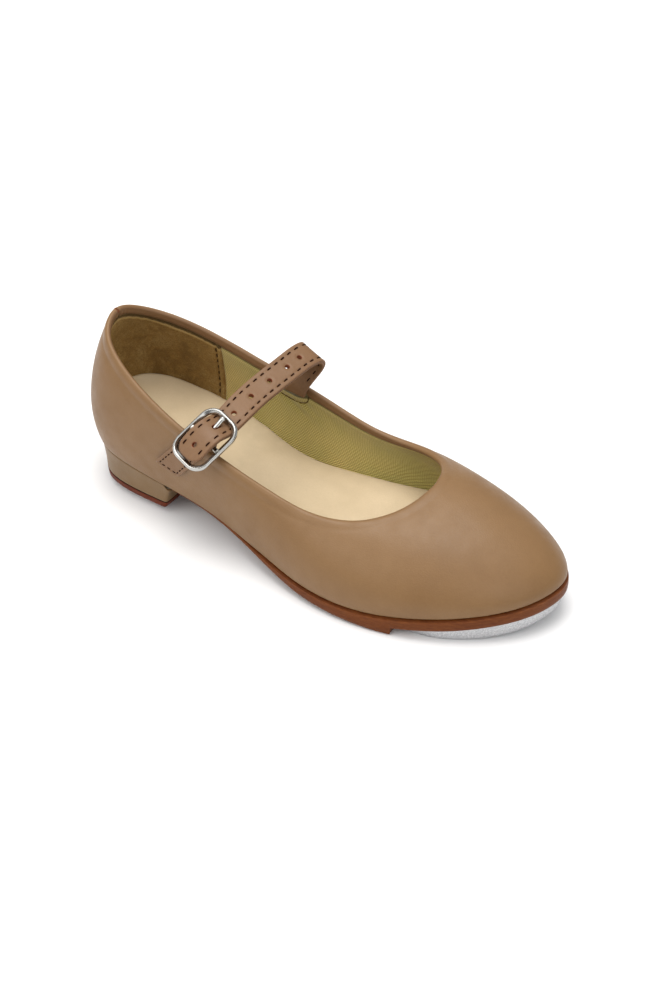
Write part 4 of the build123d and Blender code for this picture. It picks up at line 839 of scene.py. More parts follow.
def sock_piece():
    s = np.linspace(0, 1, 480, endpoint=False)
    full = inner_outline(None, 0.06, s)
    for _ in range(3):
        full = (np.roll(full, 1, 0) + 2 * full + np.roll(full, -1, 0)) / 4
    nc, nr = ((150, 57))
    ctr = np.stack([np.clip(full[:, 0], 25, 165), 0 * full[:, 1] + 0.5], -1)
    d = full - ctr; L = np.linalg.norm(d, axis=1, keepdims=True)
    ins = lambda k: ctr + d * (L - k) / L
    g0, X = grid_cols(full, nc, nr); g1, _ = grid_cols(ins(0.45), nc, nr); g2, _ = grid_cols(ins(1.3), nc, nr)
    zs_ = lambda g: zf(g[..., 0])
    q = np.linspace(-1, 1, nr)[None, :]; wid = (g2[:, -1, 1] - g2[:, 0, 1])[:, None] / 2
    xr = g2[..., 0]
    # padded under the heel, thin in the waist, turned up a little against the walls
    edge_h = pad_edge(xr); mid_h = np.interp(xr, [0, 30, 45, 60, 75, 90, 110, 140, 190], [8.2, 7.5, 6.6, 5.2, 4.3, 4.7, 5.3, 5.6, 5.6])
    ends = np.clip(1 - (xr - 3.2) / 11.0, 0, 1) ** 2
    k = np.maximum(np.abs(q) ** 3.2, ends) + 0 * xr
    top = with_z(g2, zs_(g2) + mid_h + (edge_h - mid_h) * k + bend_noise(g2[..., 0], g2[..., 1], 0.10, 31, smin=16, smax=50))
    F = quads(nc, nr); idx = np.arange(nc * nr).reshape(nc, nr)
    pinned = set(idx[0].tolist() + idx[-1].tolist() + idx[:, 0].tolist() + idx[:, -1].tolist() + idx[1].tolist() + idx[-2].tolist())
    # the foam's swell comes from a cloth simulation of the sheet held at its edge
    T2 = puff(top.reshape(-1, 3), F, pinned, 3.0, 0.9, "sock")
    T2 = T2.reshape(top.shape); T2[..., :2] = top[..., :2] + np.clip(T2[..., :2] - top[..., :2], -0.15, 0.15)
    T2[..., 2] = np.maximum(T2[..., 2], top[..., 2] - 0.2)
    edge = lambda g, dz: with_z(g, np.interp(g[..., 0], X, top[:, nr // 2, 2] * 0) + zs_(g) + dz + 0 * g[..., 0])
    base_edge = top[..., 2] - zs_(g2)
    r1 = with_z(g1, zs_(g1) + base_edge - 0.10); r2 = with_z(g0, zs_(g0) + base_edge - 0.45); r3 = with_z(g0, zs_(g0) + np.minimum(base_edge - 0.9, 4.6)); 
    bot = with_z(g1, zs_(g1) + np.minimum(base_edge, T2[..., 2] - zs_(g2)) * 0 + np.minimum(top[..., 2] - zs_(g2) - 1.0, 4.55))
    V, F = slab(T2, bot, [r1, r2, r3])
    make("sock_lining_padded", V, F, MAT["sock"], "shoe", fab=V, slot="sock", replaces=("sock_lining", "sock_foam"))


sock_piece()


# ------------------------------------------------------------------ fabric patch over the strap's root
def patch_piece():
    na, nb = 41, 25
    a = np.linspace(-1, 1, na)[:, None]; b = np.linspace(0, 1, nb)[None, :]
    sc = 0.8145; ds_ = 8.3 / TOP_ARC[-1] * (TOP_ARC[-1] / ((TOP_ARC[-1] + FEA_ARC[-1]) / 2))
    S = sc + a * ds_ + 0 * b
    dmax = BIND - 0.6 + 6.2 * np.sqrt(np.clip(1 - np.abs(a) ** 2.4, 0.0, 1))
    dd = 1.7 + (dmax - 1.7) * b
    V = v_of(S, dd)
    h = 0.06 + 2.75 * np.clip(1 - np.abs(a) ** 3.4, 0, 1) * np.clip(1 - b ** 2.6, 0, 1)
    h = h + 0.05 * np.cos(a * 9 + b * 4) * (1 - b) * (1 - np.abs(a))
    base = D_VAMP + T_LINING
    A = ply_point(S, V, base + h)
    B = ply_point(S, V, base + np.maximum(h - 0.6, 0.02))
    idx = np.arange(na * nb).reshape(na, nb)
    pinned = set(idx[0].tolist() + idx[-1].tolist() + idx[:, -1].tolist() + idx[:, 0].tolist())
    F = [f[::-1] for f in quads(na, nb)]
    A2 = puff(A.reshape(-1, 3), F, pinned, 2.0, 0.25, "patch").reshape(A.shape)
    fabg = np.stack([s_arc(S), dd, 0 * dd], -1)
    V_, F_ = slab(A2, B, [(A2 + B) / 2]); f_ = slab(fabg, fabg, [fabg])[0]
    make("strap_root_patch", V_, F_, MAT["twill"], "shoe", fab=f_, slot="twill_lining", replaces=("strap_anchor_patch",))
    # the dark sunk seam round the D, with its thread
    bag = Bag(); path = []
    for aa in np.linspace(-0.99, 0.99, 90):
        S1 = np.array([sc + aa * ds_]); dm = BIND - 0.6 + 6.2 * np.sqrt(max(0.0, 1 - abs(aa) ** 2.4)) + 0.05
        V1 = v_of(S1, np.array([dm])); path.append(ply_point(S1, V1, np.array([base + 0.10]))[0])
    path = np.array(path); L = np.concatenate([[0], np.cumsum(np.linalg.norm(np.diff(path, axis=0), axis=1))])
    u = np.linspace(0, L[-1], 160); pp = np.stack([np.interp(u, L, path[:, i]) for i in range(3)], -1)
    v_, f_ = tube(pp, 0.20 + 0.04 * np.cos(u * 2 * pi / 1.6), 10); bag.add(v_, f_)
    bag.make("strap_root_patch_seam", MAT["thread_lining"], body="shoe", slot="twill_lining")


patch_piece()


# ------------------------------------------------------------------ outsole
def sole_offset(x):
    return -nat([-20, 30, 46, 56, 68, 80, 92, 110, 210], [-2.3, -2.3, -2.2, -1.9, -1.2, -0.2, 0.5, 0.6, 0.6], x)


def plan(inset, n=1600, s0=0.0, s1=1.0, endpoint=False):
    s = np.linspace(s0, s1, n, endpoint=endpoint); e = 1e-4
    x, y = per(TAB[:, 0], s), per(TAB[:, 1], s)
    dx = per(TAB[:, 0], s + e) - per(TAB[:, 0], s - e); dy = per(TAB[:, 1], s + e) - per(TAB[:, 1], s - e)
    l = np.hypot(dx, dy); nx, ny = dy / l, -dx / l
    o = -(inset(x) if callable(inset) else inset)
    return np.stack([x + nx * o, y + ny * o], -1)


def outsole_piece():
    nc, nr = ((230, 25))
    br = np.array([STEP_X - 0.75, STEP_X - 0.35, STEP_X - 0.12, STEP_X + 0.10, STEP_X + 0.35, STEP_X + 0.8])
    flag = np.array([0, 0, 0, 1, 1, 1]); lift_ = np.array([0.0, 0.06, 0.30, -0.22, -0.03, 0.0])
    G = {}
    for k in (-0.12, 0.0, 0.28, 0.4, 1.0, 1.6):
        G[k], X = grid_cols(plan(lambda x: sole_offset(x) + k), nc, nr, breaks=br)
    x = X
    fore = x > STEP_X
    zbot = np.where(fore, zs(x), zb(x))
    i0 = int(np.argmin(np.abs(x - br[0])))
    zbot[i0:i0 + 6] = np.where(flag, zs(br), zb(br)) + lift_
    ztop = zf(x)
    # thickness at the waist is small: keep the profile in order
    th = np.maximum(ztop - zbot, 0.9)
    Z = lambda z: np.repeat(z[:, None], nr, 1)
    groove = np.clip((x - 60) / 40, 0, 1)
    top = with_z(G[1.6], Z(ztop - 0.02)); rings = [
        with_z(G[1.0], Z(ztop - 0.06)), with_z(G[0.4], Z(ztop - 0.12 - 0.28 * groove)), with_z(G[0.0], Z(ztop - 0.30 - 0.22 * groove)), with_z(G[-0.12], Z(ztop - 0.30 * th - 0.2)),
        with_z(G[-0.12], Z(zbot + 0.30 * th)), with_z(G[0.0], Z(zbot + 0.28)), with_z(G[0.28], Z(zbot + 0.05))]
    bot = with_z(G[1.0], Z(zbot))
    V, F = slab(top, bot, rings)
    make("outsole_trimmed", V, F, MAT["sole"], "shoe", fab=V, slot="sole", replaces=("outsole",), sharp=50)


outsole_piece()


# ------------------------------------------------------------------ heel: cover, lift, tap
def breast(z, d=0.0):
    return 41.2 + (z - 3.0) * 0.32 - d


def heel_outline(z, d, n=420, sig=0.85):
    k = HEEL_TAPER / 13.0; ins = 0.15 + d + k * (18 - z)
    p = plan(ins, n=1200, s0=-0.27, s1=0.27, endpoint=True); xb = breast(z, d)
    mid = len(p) // 2
    a = np.argmax(p[mid:, 0] > xb) + mid; b = mid - np.argmax(p[mid::-1, 0] > xb)
    arc = p[b + 1:a]
    line = np.stack([np.full(60, xb), np.linspace(arc[-1, 1], arc[0, 1], 60)], -1)
    c = np.concatenate([arc, line])
    L = np.concatenate([[0], np.cumsum(np.linalg.norm(np.diff(np.vstack([c, c[:1]]), axis=0), axis=1))]); cc = np.vstack([c, c[:1]])
    m = 1400; u = np.linspace(0, L[-1], m, endpoint=False)
    q = np.stack([np.interp(u, L, cc[:, 0]), np.interp(u, L, cc[:, 1])], -1)
    h = L[-1] / m; w = int(4 * sig / h); kern = np.exp(-0.5 * (np.arange(-w, w + 1) * h / sig) ** 2); kern /= kern.sum()
    q = np.stack([np.convolve(np.concatenate([q[-w:, i], q[:, i], q[:w, i]]), kern, "valid") for i in range(2)], -1)
    # start at the rearmost point
    q = np.roll(q, -int(np.argmin(q[:, 0])), 0)
    L = np.concatenate([[0], np.cumsum(np.linalg.norm(np.diff(np.vstack([q, q[:1]]), axis=0), axis=1))]); qq = np.vstack([q, q[:1]])
    u = np.linspace(0, L[-1], n, endpoint=False)
    return np.stack([np.interp(u, L, qq[:, 0]), np.interp(u, L, qq[:, 1])], -1)


def heel_cover_piece():
    n = 420
    z0 = 5.3
    lv = np.linspace(0, 1, 18)
    O5, O20 = heel_outline(5.3, 0.0, n), heel_outline(20.0, 0.0, n)
    I5, I20 = heel_outline(5.3, 0.8, n), heel_outline(20.0, 0.8, n)

    def at(A, B, z):
        w = ((z - 5.3) / 14.7)[:, None]; return A * (1 - w) + B * w
    # height of the top edge: the feather line along the walls, the sole's underside across the breast
    x = O20[:, 0]; side = np.clip((breast(14.0) - 1.5 - x) / 2.5, 0, 1)
    ztop = zb(np.clip(x, -2, 60)) * (1 - side) + (zf(x) - 0.12) * side
    for _ in range(2):
        xm = at(O5, O20, ztop)[:, 0]; side = np.clip((breast(ztop) - 0.9 - xm) / 2.2, 0, 1)
        ztop = (zb(xm) - 0.04) * (1 - side) + (zf(xm) - 0.12) * side
    for _ in range(4):
        ztop = (np.roll(ztop, 1) + 2 * ztop + np.roll(ztop, -1)) / 4
    rows = []
    z0a = np.full(n, z0)
    rows.append(np.concatenate([at(O5, O20, z0a) * 0.985 + at(I5, I20, z0a) * 0.015, z0a[:, None]], -1))
    def ring(z, mixw, dz=0.0):
        p = at(O5, O20, z) * (1 - mixw) + at(I5, I20, z) * mixw
        return np.concatenate([p, (z + dz)[:, None]], -1)
    rows = [ring(z0a, 0.55), ring(z0a + 0.03, 0.28), ring(z0a + 0.20, 0.05)]
    for t in np.linspace(0.03, 0.97, 20):
        z = z0a + 0.3 + (ztop - z0a - 0.55) * t
        hollow = 0.16 * sin(pi * t)                      # faintly waisted block
        p = at(O5, O20, z) * (1 - hollow / 0.8) + at(I5, I20, z) * (hollow / 0.8)
        rows.append(np.concatenate([p, z[:, None]], -1))
    rows += [ring(ztop - 0.22, 0.10), ring(ztop - 0.05, 0.35), ring(ztop, 0.65)]
    rows += [ring(ztop - 0.1, 1.0), ring((ztop + z0a) / 2, 1.0), ring(z0a + 0.1, 1.0)]
    P = np.array(rows); nr = len(P)
    F = quads(nr, n, wrap_u=True, wrap_v=True)
    arc = np.concatenate([[0], np.cumsum(np.linalg.norm(np.diff(O5, axis=0), axis=1))])
    make("heel_cover_leather", P, F, MAT["heel"], "shoe", fab=P, slot="heel_leather", replaces=("heel_cover",))


def cap_rings(rings, name, mats, fm=None, **kw):
    """closed stack of outlines (each n x 3), capped at both ends with a fan round its middle in three steps"""
    n = len(rings[0]); R = list(rings)

    def inward(r, k):
        c = r.mean(0); q = c + (r - c) * k; return q
    pre = [inward(R[0], k) for k in (0.12, 0.45, 0.8)]; post = [inward(R[-1], k) for k in (0.8, 0.45, 0.12)]
    R = pre + R + post
    V = np.concatenate(R + [R[0].mean(0)[None], R[-1].mean(0)[None]]); F = quads(len(R), n, wrap_v=True)
    fm_ = [0] * len(F)
    if fm is not None:
        fm_ = [fm(i // n - 3) for i in range(len(F))]
    k = len(V) - 2
    F += [[k, (j + 1) % n, j] for j in range(n)] + [[k + 1, (len(R) - 1) * n + j, (len(R) - 1) * n + (j + 1) % n] for j in range(n)]
    fm_ += [0] * n + [0] * n
    return make(name, V, F, mats, fab=V, fmat=fm_, **kw)


def r3(p, z):
    return np.concatenate([p, np.full((len(p), 1), float(z))], -1)


def lift_piece():
    o = lambda z, d: heel_outline(z, d, 420)
    rings = [r3(o(5.2, 0.75), 5.22), r3(o(5.2, 0.42), 5.20), r3(o(5.1, 0.32), 5.02), r3(o(4.9, 0.06), 4.86), r3(o(4.7, -0.04), 4.60), r3(o(4.0, -0.06), 4.0), r3(o(3.3, -0.06), 3.3), r3(o(2.7, -0.02), 2.70), r3(o(2.4, 0.12), 2.42), r3(o(2.25, 0.40), 2.24), r3(o(2.2, 0.9), 2.2)]
    # the lift's top face and upper edge take the near-black resin: painted shadow under the heel cover
    cap_rings(rings, "heel_lift_trimmed", [MAT["lift"], MAT["dark"]], fm=lambda i: 1 if i <= 2 else 0, body="shoe", slot="lift", replaces=("heel_lift",))


heel_cover_piece()
lift_piece()


def tap_grid(inset, rear, hollow, nc=70, nr=61):
    out = plan(lambda x: sole_offset(x) + inset + 1.9 * np.exp(-((x - rear) / 7.0) ** 2)); x, y = out[:, 0], out[:, 1]
    b = int(np.argmax(x)); lat = out[:b + 1]; med = out[b:][::-1]
    lat = lat[lat[:, 0] > 60]; med = med[med[:, 0] > 60]
    lat = lat[np.argsort(lat[:, 0])]; med = med[np.argsort(med[:, 0])]
    u = np.sin(np.linspace(0, pi / 2, nc)); X = rear + (x.max() - rear) * u
    yl = np.interp(X, lat[:, 0], lat[:, 1]); ym = np.interp(X, med[:, 0], med[:, 1]); q = np.linspace(0, 1, nr)[None, :]
    Y = yl[:, None] * (1 - q) + ym[:, None] * q
    XX = X[:, None] + hollow * (1 - (2 * q - 1) ** 2) * (1 - u[:, None]) ** 2 + 0 * Y
    return np.stack([XX, Y], -1)


def toe_tap_piece():
    Z = lambda g, f, dz=0.0: with_z(g, f(g[..., 0]) + dz)
    g = {k: tap_grid(1.8 + k, 151.5 + k * 0.9, 2.6) for k in (0.0, 0.12, 0.3, 0.75, 1.2)}
    gi = {k: tap_grid(4.6 + k, 156.5 + k * 0.9, 2.6) for k in (-0.5, -0.2, 0.0, 0.1)}
    lo = lambda dz: (lambda g_: np.minimum(zt(g_[..., 0]) + dz, zs(g_[..., 0]) - 0.06))
    W = lambda g_, dz: with_z(g_, lo(dz)(g_))
    top = Z(g[0.3], zs, -0.04)
    rings = [Z(g[0.12], zs, -0.10), Z(g[0.0], zs, -0.30), W(g[0.0], 0.95), W(g[0.12], 0.45), W(g[0.3], 0.16), W(g[0.75], 0.0), W(gi[-0.5], 0.0), W(gi[-0.2], 0.06), W(gi[0.0], 0.35), W(gi[0.0], 1.3)]
    bot = W(gi[0.1], 1.5)
    V, F = slab(top, bot, rings)
    make("toe_tap_cast", V, F, MAT["tap"], "shoe", fab=V, slot="tap_aluminium", replaces=("toe_tap",), sharp=55)


toe_tap_piece()


def heel_tap_piece():
    o = lambda z, d: heel_outline(z, 3.0 + d, 360, sig=1.6)
    rings = [r3(o(2, 0.3), 2.18), r3(o(2, 0.05), 2.10), r3(o(2, 0.0), 1.85), r3(o(1, 0.0), 0.95), r3(o(1, 0.08), 0.55), r3(o(0.5, 0.28), 0.22), r3(o(0, 0.65), 0.03), r3(o(0, 1.1), 0.0)]
    cap_rings(rings, "heel_tap_blank", MAT["tap"], body="shoe", slot="tap_aluminium")


for n_, m_ in dict(toe_puff="stiff", heel_counter="stiff", insole_board="fibre", shank="spring", bottom_filler="cork", toe_tap_board="fibre", toe_tap_screws="steel",
                   heel_tap="tap", heel_tap_screws="steel", heel_nails="nail", heel_block="core").items():
    o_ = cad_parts[n_]; o_.data.materials.clear(); o_.data.materials.append(MAT[m_])

# ------------------------------------------------------------------ buckle frame of reference
C = np.array((64.2, -28.8, 47.2)); e1 = np.array((0.342, 0.785, 0.516)); e1 /= np.linalg.norm(e1)
e2 = np.array((0.934, -0.225, -0.278)); e2 -= e1 * (e2 @ e1); e2 /= np.linalg.norm(e2); nn = np.cross(e2, e1)


def loc(a, u, w):
    return C + e2 * a + e1 * u + nn * w


def local(P):
    P = np.asarray(P, float); return C + P[..., :1] * e2 + P[..., 1:2] * e1 + P[..., 2:3] * nn


def buckle_pieces():
    R = FRAME_R + 0.8; hw, hl = FRAME_W / 2 + 0.42 - R, FRAME_L / 2 - R; shift = 0.55      # rounder at the corners and a little fuller to the toe side
    pts, nrm = [], []
    for cx, cy, a0 in ((hw, hl, 0), (-hw, hl, 90), (-hw, -hl, 180), (hw, -hl, 270)):
        for a in np.linspace(a0, a0 + 90, 22):
            r = radians(a); nrm.append((cos(r), sin(r))); pts.append((cx + R * cos(r), cy + R * sin(r)))
        k = len(pts) - 1; last, nl = pts[k], nrm[k]
        nx_ = {0: (-hw, hl + R), 90: (-hw - R, -hl), 180: (hw, -hl - R), 270: (hw + R, hl)}[a0]
        for t in np.linspace(0, 1, 16)[1:-1]:
            pts.append((last[0] * (1 - t) + nx_[0] * t, last[1] * (1 - t) + nx_[1] * t)); nrm.append(nl)
    pts, nrm = np.array(pts), np.array(nrm)
    prof = [(0.0, -0.35), (0.0, -0.10), (0.05, 0.10), (0.16, 0.34), (0.40, 0.68), (0.52, 0.80), (0.66, 0.87), (0.82, 0.88), (0.98, 0.82), (1.12, 0.72), (1.45, 0.46), (1.80, 0.18), (2.02, -0.02), (2.14, -0.18), (2.20, -0.38), (2.20, -0.62), (2.08, -0.80), (1.80, -0.90), (1.2, -0.90), (0.6, -0.88), (0.25, -0.76), (0.06, -0.58)]
    P = []
    for i_, w in prof:
        P.append(np.stack([pts[:, 0] - nrm[:, 0] * i_, pts[:, 1] - nrm[:, 1] * i_, np.full(len(pts), w)], -1))
    P = np.array(P)                                    # profile x around
    P[..., 0] += shift
    V = local(P.reshape(-1, 3)); F = quads(len(prof), len(pts), wrap_u=True, wrap_v=True)
    bag = Bag(); bag.add(V, F)
    bl = FRAME_W / 2 - RIM + 0.9
    xs = np.linspace(-bl + shift * 0.6, bl + shift, 40)
    rad = BAR_R - 0.07 + 0.22 * np.exp(-((np.abs(xs - shift) - bl) / 0.5) ** 2)
    v, f = tube(local(np.stack([xs, 0 * xs, 0 * xs], -1)), rad, 24, flat_normal=nn); bag.add(v, f)
    bag.make("buckle_frame_polished", MAT["nickel"], body="buckle", slot="nickel", replaces=("buckle_frame",), sharp=42)
    # prong: rolled eye round the bar and a tapering pin that rests on the far end of the frame
    pb = Bag()
    th = np.linspace(0, 2 * pi, 40, endpoint=False)
    ringc = []
    for sx in np.linspace(-0.62, 0.62, 7):
        pass
    prof = [(-1.0, 0.98), (-0.98, 1.35), (-0.75, 1.62), (-0.3, 1.72), (0.3, 1.72), (0.75, 1.62), (0.98, 1.35), (1.0, 0.98), (0.5, 0.955), (-0.5, 0.955)]
    Q = np.array([[(a, cos(t_) * r, sin(t_) * r) for t_ in th] for a, r in prof])
    pb.add(local(Q.reshape(-1, 3)), quads(len(prof), len(th), wrap_u=True, wrap_v=True))
    ctrl = np.array([(0.1, 1.3, 0.30), (0.25, 3.8, 0.45), (0.45, 6.2, 0.98), (0.45, 8.2, 1.42), (0.42, 9.4, 1.66), (0.40, 10.25, 1.62)])
    L = np.concatenate([[0], np.cumsum(np.linalg.norm(np.diff(ctrl, axis=0), axis=1))]); u = np.linspace(0, L[-1], 60)
    path = np.stack([nat(L, ctrl[:, i], u) for i in range(3)], -1); k = u / L[-1]
    rad = 1.04 - 0.14 * k; rad = rad * np.sqrt(np.clip(1 - np.clip((k - 0.93) / 0.075, 0, 1) ** 2, 0.02, 1))
    v, f = tube(local(path), rad, 20, flat_normal=nn); pb.add(v, f)
    pb.make("buckle_prong_pin", MAT["prong"], body="prong", slot="nickel", replaces=("buckle_prong",))


buckle_pieces()

# ------------------------------------------------------------------ chape
WS, WV = np.meshgrid(np.linspace(0.04, 0.34, 161), np.linspace(0.0, 1.0, 81), indexing="ij")
WALLP = surf(WS, WV).reshape(-1, 3)


def wall_y(x, z):
    x, z = np.asarray(x, float), np.asarray(z, float); out = np.zeros(x.shape)
    for idx in np.ndindex(x.shape):
        d = (WALLP[:, 0] - x[idx]) ** 2 + (WALLP[:, 2] - z[idx]) ** 2
        k = np.argpartition(d, 5)[:5]; w = 1 / (d[k] + 1e-4); out[idx] = (WALLP[k, 1] * w).sum() / w.sum()
    return out


CH_END = [np.array((41.6, 0, 28.0)), np.array((52.6, 0, 25.5))]


def chape_piece():
    bar_a, bar_b = loc(-5.2, 0, 0), loc(5.2, 0, 0)
    npp, nq = 90, 31

    def centre(p, q, half):
        top = bar_a * (1 - q[..., None]) + bar_b * q[..., None]; end = CH_END[0] * (1 - q[..., None]) + CH_END[1] * q[..., None]
        P = top * (1 - p[..., None]) + end * p[..., None]
        zt_ = nat([40, 50, 57, 64.5, 79], [50.0, 46.7, 44.5, 42.4, 38.4], P[..., 0])
        yw = wall_y(P[..., 0], np.minimum(P[..., 2], zt_)) - half - 0.30
        k = np.clip((zt_ + 1.5 - P[..., 2]) / 5.0, 0, 1); k = k * k * (3 - 2 * k)
        ye = wall_y(end[..., 0], end[..., 2]) - half - 0.30
        ylin = top[..., 1] * (1 - p) + ye * p
        P[..., 1] = np.minimum(yw, ylin) * k + np.minimum(ylin, yw + 2.0 * (1 - k)) * (1 - k)
        return P
    p = np.linspace(0.0, 1, npp)[:, None] + np.zeros((1, nq)); q = np.linspace(0, 1, nq)[None, :] + np.zeros((npp, 1))
    Cn = centre(p, q, 0.72)
    for _ in range(3):
        Cn[1:-1, :, 1] = (Cn[:-2, :, 1] + 2 * Cn[1:-1, :, 1] + Cn[2:, :, 1]) / 4
        Cn[:, 1:-1, 1] = (Cn[:, :-2, 1] + 2 * Cn[:, 1:-1, 1] + Cn[:, 2:, 1]) / 4
    a = np.gradient(Cn, axis=0); b = np.gradient(Cn, axis=1); N = np.cross(a, b); N /= np.linalg.norm(N, axis=-1, keepdims=True)
    if (N[..., 1].mean()) > 0:
        N = -N
    Lp = np.linalg.norm(np.diff(Cn[:, nq // 2], axis=0), axis=1).sum(); Wq = 10.9

    def samp(P_, Q_, h):
        """bilinear sample of the centre sheet at p, q (arrays) lifted by h"""
        x = np.clip(P_, 0, 1) * (npp - 1); y = np.clip(Q_, 0, 1) * (nq - 1); i = np.minimum(x.astype(int), npp - 2); j = np.minimum(y.astype(int), nq - 2); u = (x - i)[..., None]; w = (y - j)[..., None]
        g = lambda G: (G[i, j] * (1 - u) + G[i + 1, j] * u) * (1 - w) + (G[i, j + 1] * (1 - u) + G[i + 1, j + 1] * u) * w
        return g(Cn) + g(N) * np.asarray(h)[..., None]
    # chape outline: rounded end corners
    nu, nw = 110, 41
    pu = np.linspace(0.0, 1, nu)

    def grid(inset, h, ends=True):
        d_end = (1 - pu) * Lp                                     # mm to the end
        r = 1.7
        half = Wq / 2 - np.where(d_end < r, r - np.sqrt(np.clip(r ** 2 - (r - d_end) ** 2, 0, None)), 0) * 0.9 - inset
        P_ = np.clip(pu * (1 - inset / Lp), 0, 1)[:, None] + np.zeros((1, nw)); yy = np.linspace(-1, 1, nw)[None, :] * half[:, None]
        Q_ = 0.5 + yy / Wq
        hh = np.zeros(P_.shape) + h
        if h > 0.5:
            ym = np.abs(yy); dl = (Wq / 2 - 1.55) - ym
            hh = hh - 0.14 * np.exp(-(dl / 0.33) ** 2) * (P_ > 0.12) + 0.10 * (1 - (yy / (Wq / 2)) ** 4)
            de = (1 - P_) * Lp - 1.75
            hh = hh - 0.14 * np.exp(-(de / 0.33) ** 2) * (ym < Wq / 2 - 1.5)
        return samp(P_, Q_, hh), P_, yy
    T_, Pm, Ym = grid(0.32, 0.72)
    B_, _, _ = grid(0.25, -0.66)
    rings = [grid(0.10, 0.62)[0], grid(0.0, 0.40)[0], grid(-0.02, 0.08)[0], grid(0.10, 0.0)[0], grid(-0.02, -0.08)[0], grid(0.0, -0.42)[0]]
    V, F = slab(T_, B_, rings)
    bag = Bag(); bag.add(V, F)
    # loops that hold the bar, left and right of the prong's eye
    for a0, a1 in ((-5.35, -1.25), (1.25, 5.35)):
        th = np.linspace(0, 2 * pi, 44, endpoint=False); prof = [(a0, 1.02), (a0 - 0.0, 1.55), (a0 + 0.22, 1.86), (a0 + 0.7, 1.95), ((a0 + a1) / 2, 1.97), (a1 - 0.7, 1.95), (a1 - 0.22, 1.86), (a1, 1.55), (a1, 1.02), ((a0 + a1) / 2, 0.97)]
        Q = np.array([[(a_, cos(t_) * r_, sin(t_) * r_) for t_ in th] for a_, r_ in prof])
        bag.add(local(Q.reshape(-1, 3)), quads(len(prof), len(th), wrap_u=True, wrap_v=True))
    bag.make("chape_leather", MAT["strap"], body="shoe", slot="strap_leather", replaces=("buckle_chape",))
    # stitches: two rows and one across the end
    sb = Bag()
    sp = 2.15

    def put(p0, y0, p1, y1):
        A = samp(np.array([p0]), np.array([0.5 + y0 / Wq]), np.array([0.66]))[0]; B = samp(np.array([p1]), np.array([0.5 + y1 / Wq]), np.array([0.66]))[0]
        x = int(np.clip(p0, 0, 1) * (npp - 1)); j = int((0.5 + y0 / Wq) * (nq - 1)); stitch(sb, A, B, N[x, j], r=0.24, sink=0.25, rise=0.12)
    yr = Wq / 2 - 1.55
    for sgn in (-1, 1):
        d = 1.9
        while d < Lp - 4:
            put(1 - (d + 0.0) / Lp, sgn * yr, 1 - (d + 1.05) / Lp, sgn * yr); d += sp
    for yy in np.arange(-yr + 1.2, yr - 1.4, 2.35):
        put(1 - 1.75 / Lp, yy, 1 - 1.75 / Lp, yy + 1.35)
    sb.make("chape_stitches", MAT["thread"], body="shoe", slot="strap_leather")


chape_piece()

# ------------------------------------------------------------------ strap
PATH = [loc(1.25, -9.0, 1.9), loc(1.1, -4.5, 2.95), loc(0.95, 0.0, 3.15), loc(0.8, 3.4, 2.2), loc(0.55, 6.8, -0.55), loc(0.35, 8.9, -2.0), loc(0.1, 12.0, -2.75),
        np.array((68.8, -8.0, 53.2)), np.array((70.2, 4.0, 55.0)), np.array((71.5, 15.0, 56.1)), np.array((72.4, 23.5, 56.4)), np.array((72.9, 27.2, 55.4)),
        np.array((72.6, 28.7, 52.6)), np.array((70.8, 27.4, 48.4)), np.array((68.9, 24.9, 44.6)), np.array((67.8, 23.05, 41.2)), np.array((67.5, 22.9, 39.2))]
EDIR = [e2] * 7 + [np.array((0.93, -0.21, -0.30)), np.array((0.925, -0.19, -0.33)), np.array((0.92, -0.18, -0.35)), np.array((0.92, -0.16, -0.36)), np.array((0.92, -0.10, -0.36)),
        np.array((0.93, -0.04, -0.34)), np.array((0.94, 0.0, -0.32)), np.array((0.95, 0.02, -0.30)), np.array((0.955, 0.03, -0.296)), np.array((0.955, 0.03, -0.296))]
PATH = np.array(PATH); EDIR = np.array(EDIR)
arc_ = np.concatenate([[0], np.cumsum(np.linalg.norm(np.diff(PATH, axis=0), axis=1))]); STRAP_LEN = float(arc_[-1]); t_bar = float(arc_[2])


def strap_frame(t):
    t = np.asarray(t, float)
    P = np.stack([nat(arc_, PATH[:, i], t) for i in range(3)], -1); h = 0.05
    T = np.stack([nat(arc_, PATH[:, i], t + h) - nat(arc_, PATH[:, i], t - h) for i in range(3)], -1); T /= np.linalg.norm(T, axis=-1, keepdims=True)
    E = np.stack([nat(arc_, EDIR[:, i], t) for i in range(3)], -1)
    E -= T * (E * T).sum(-1, keepdims=True); E /= np.linalg.norm(E, axis=-1, keepdims=True)
    return P, T, E, np.cross(E, T)


def sp3(t, y, w):
    P, T, E, N = strap_frame(t)
    return P + E * np.asarray(y)[..., None] + N * np.asarray(w)[..., None]


HOLES = [t_bar - 4.0, t_bar + 15.6, t_bar + 25.7, t_bar + 35.8, t_bar + 45.5, t_bar + 52.5]
SLOT = (t_bar + 4.3, t_bar + 8.0, 1.15)       # from, to, half width
ROW_Y = STRAP_W / 2 - 1.75
PITCH = 3.75


def half_w(t):
    t = np.asarray(t, float)
    return np.where(t < 4.4, STRAP_W / 2 * np.clip(1 - np.clip((4.4 - t) / 4.4, 0, 1) ** 2.5, 0.0, 1) ** (1 / 2.3), STRAP_W / 2)


def stitch_list():
    """stitches as (t, y) pairs along both straight rows"""
    out = []
    far = STRAP_LEN - 6.5
    t0 = 1.9
    # straight rows
    k = 0
    for sgn in (-1, 1):
        t = t0 + 0.9 + (0.9 if sgn > 0 else 0.0)
        while t + 1.7 < far:
            out.append(((t, sgn * ROW_Y), (t + 1.7, sgn * ROW_Y))); t += PITCH
    return out


STITCHES = stitch_list()


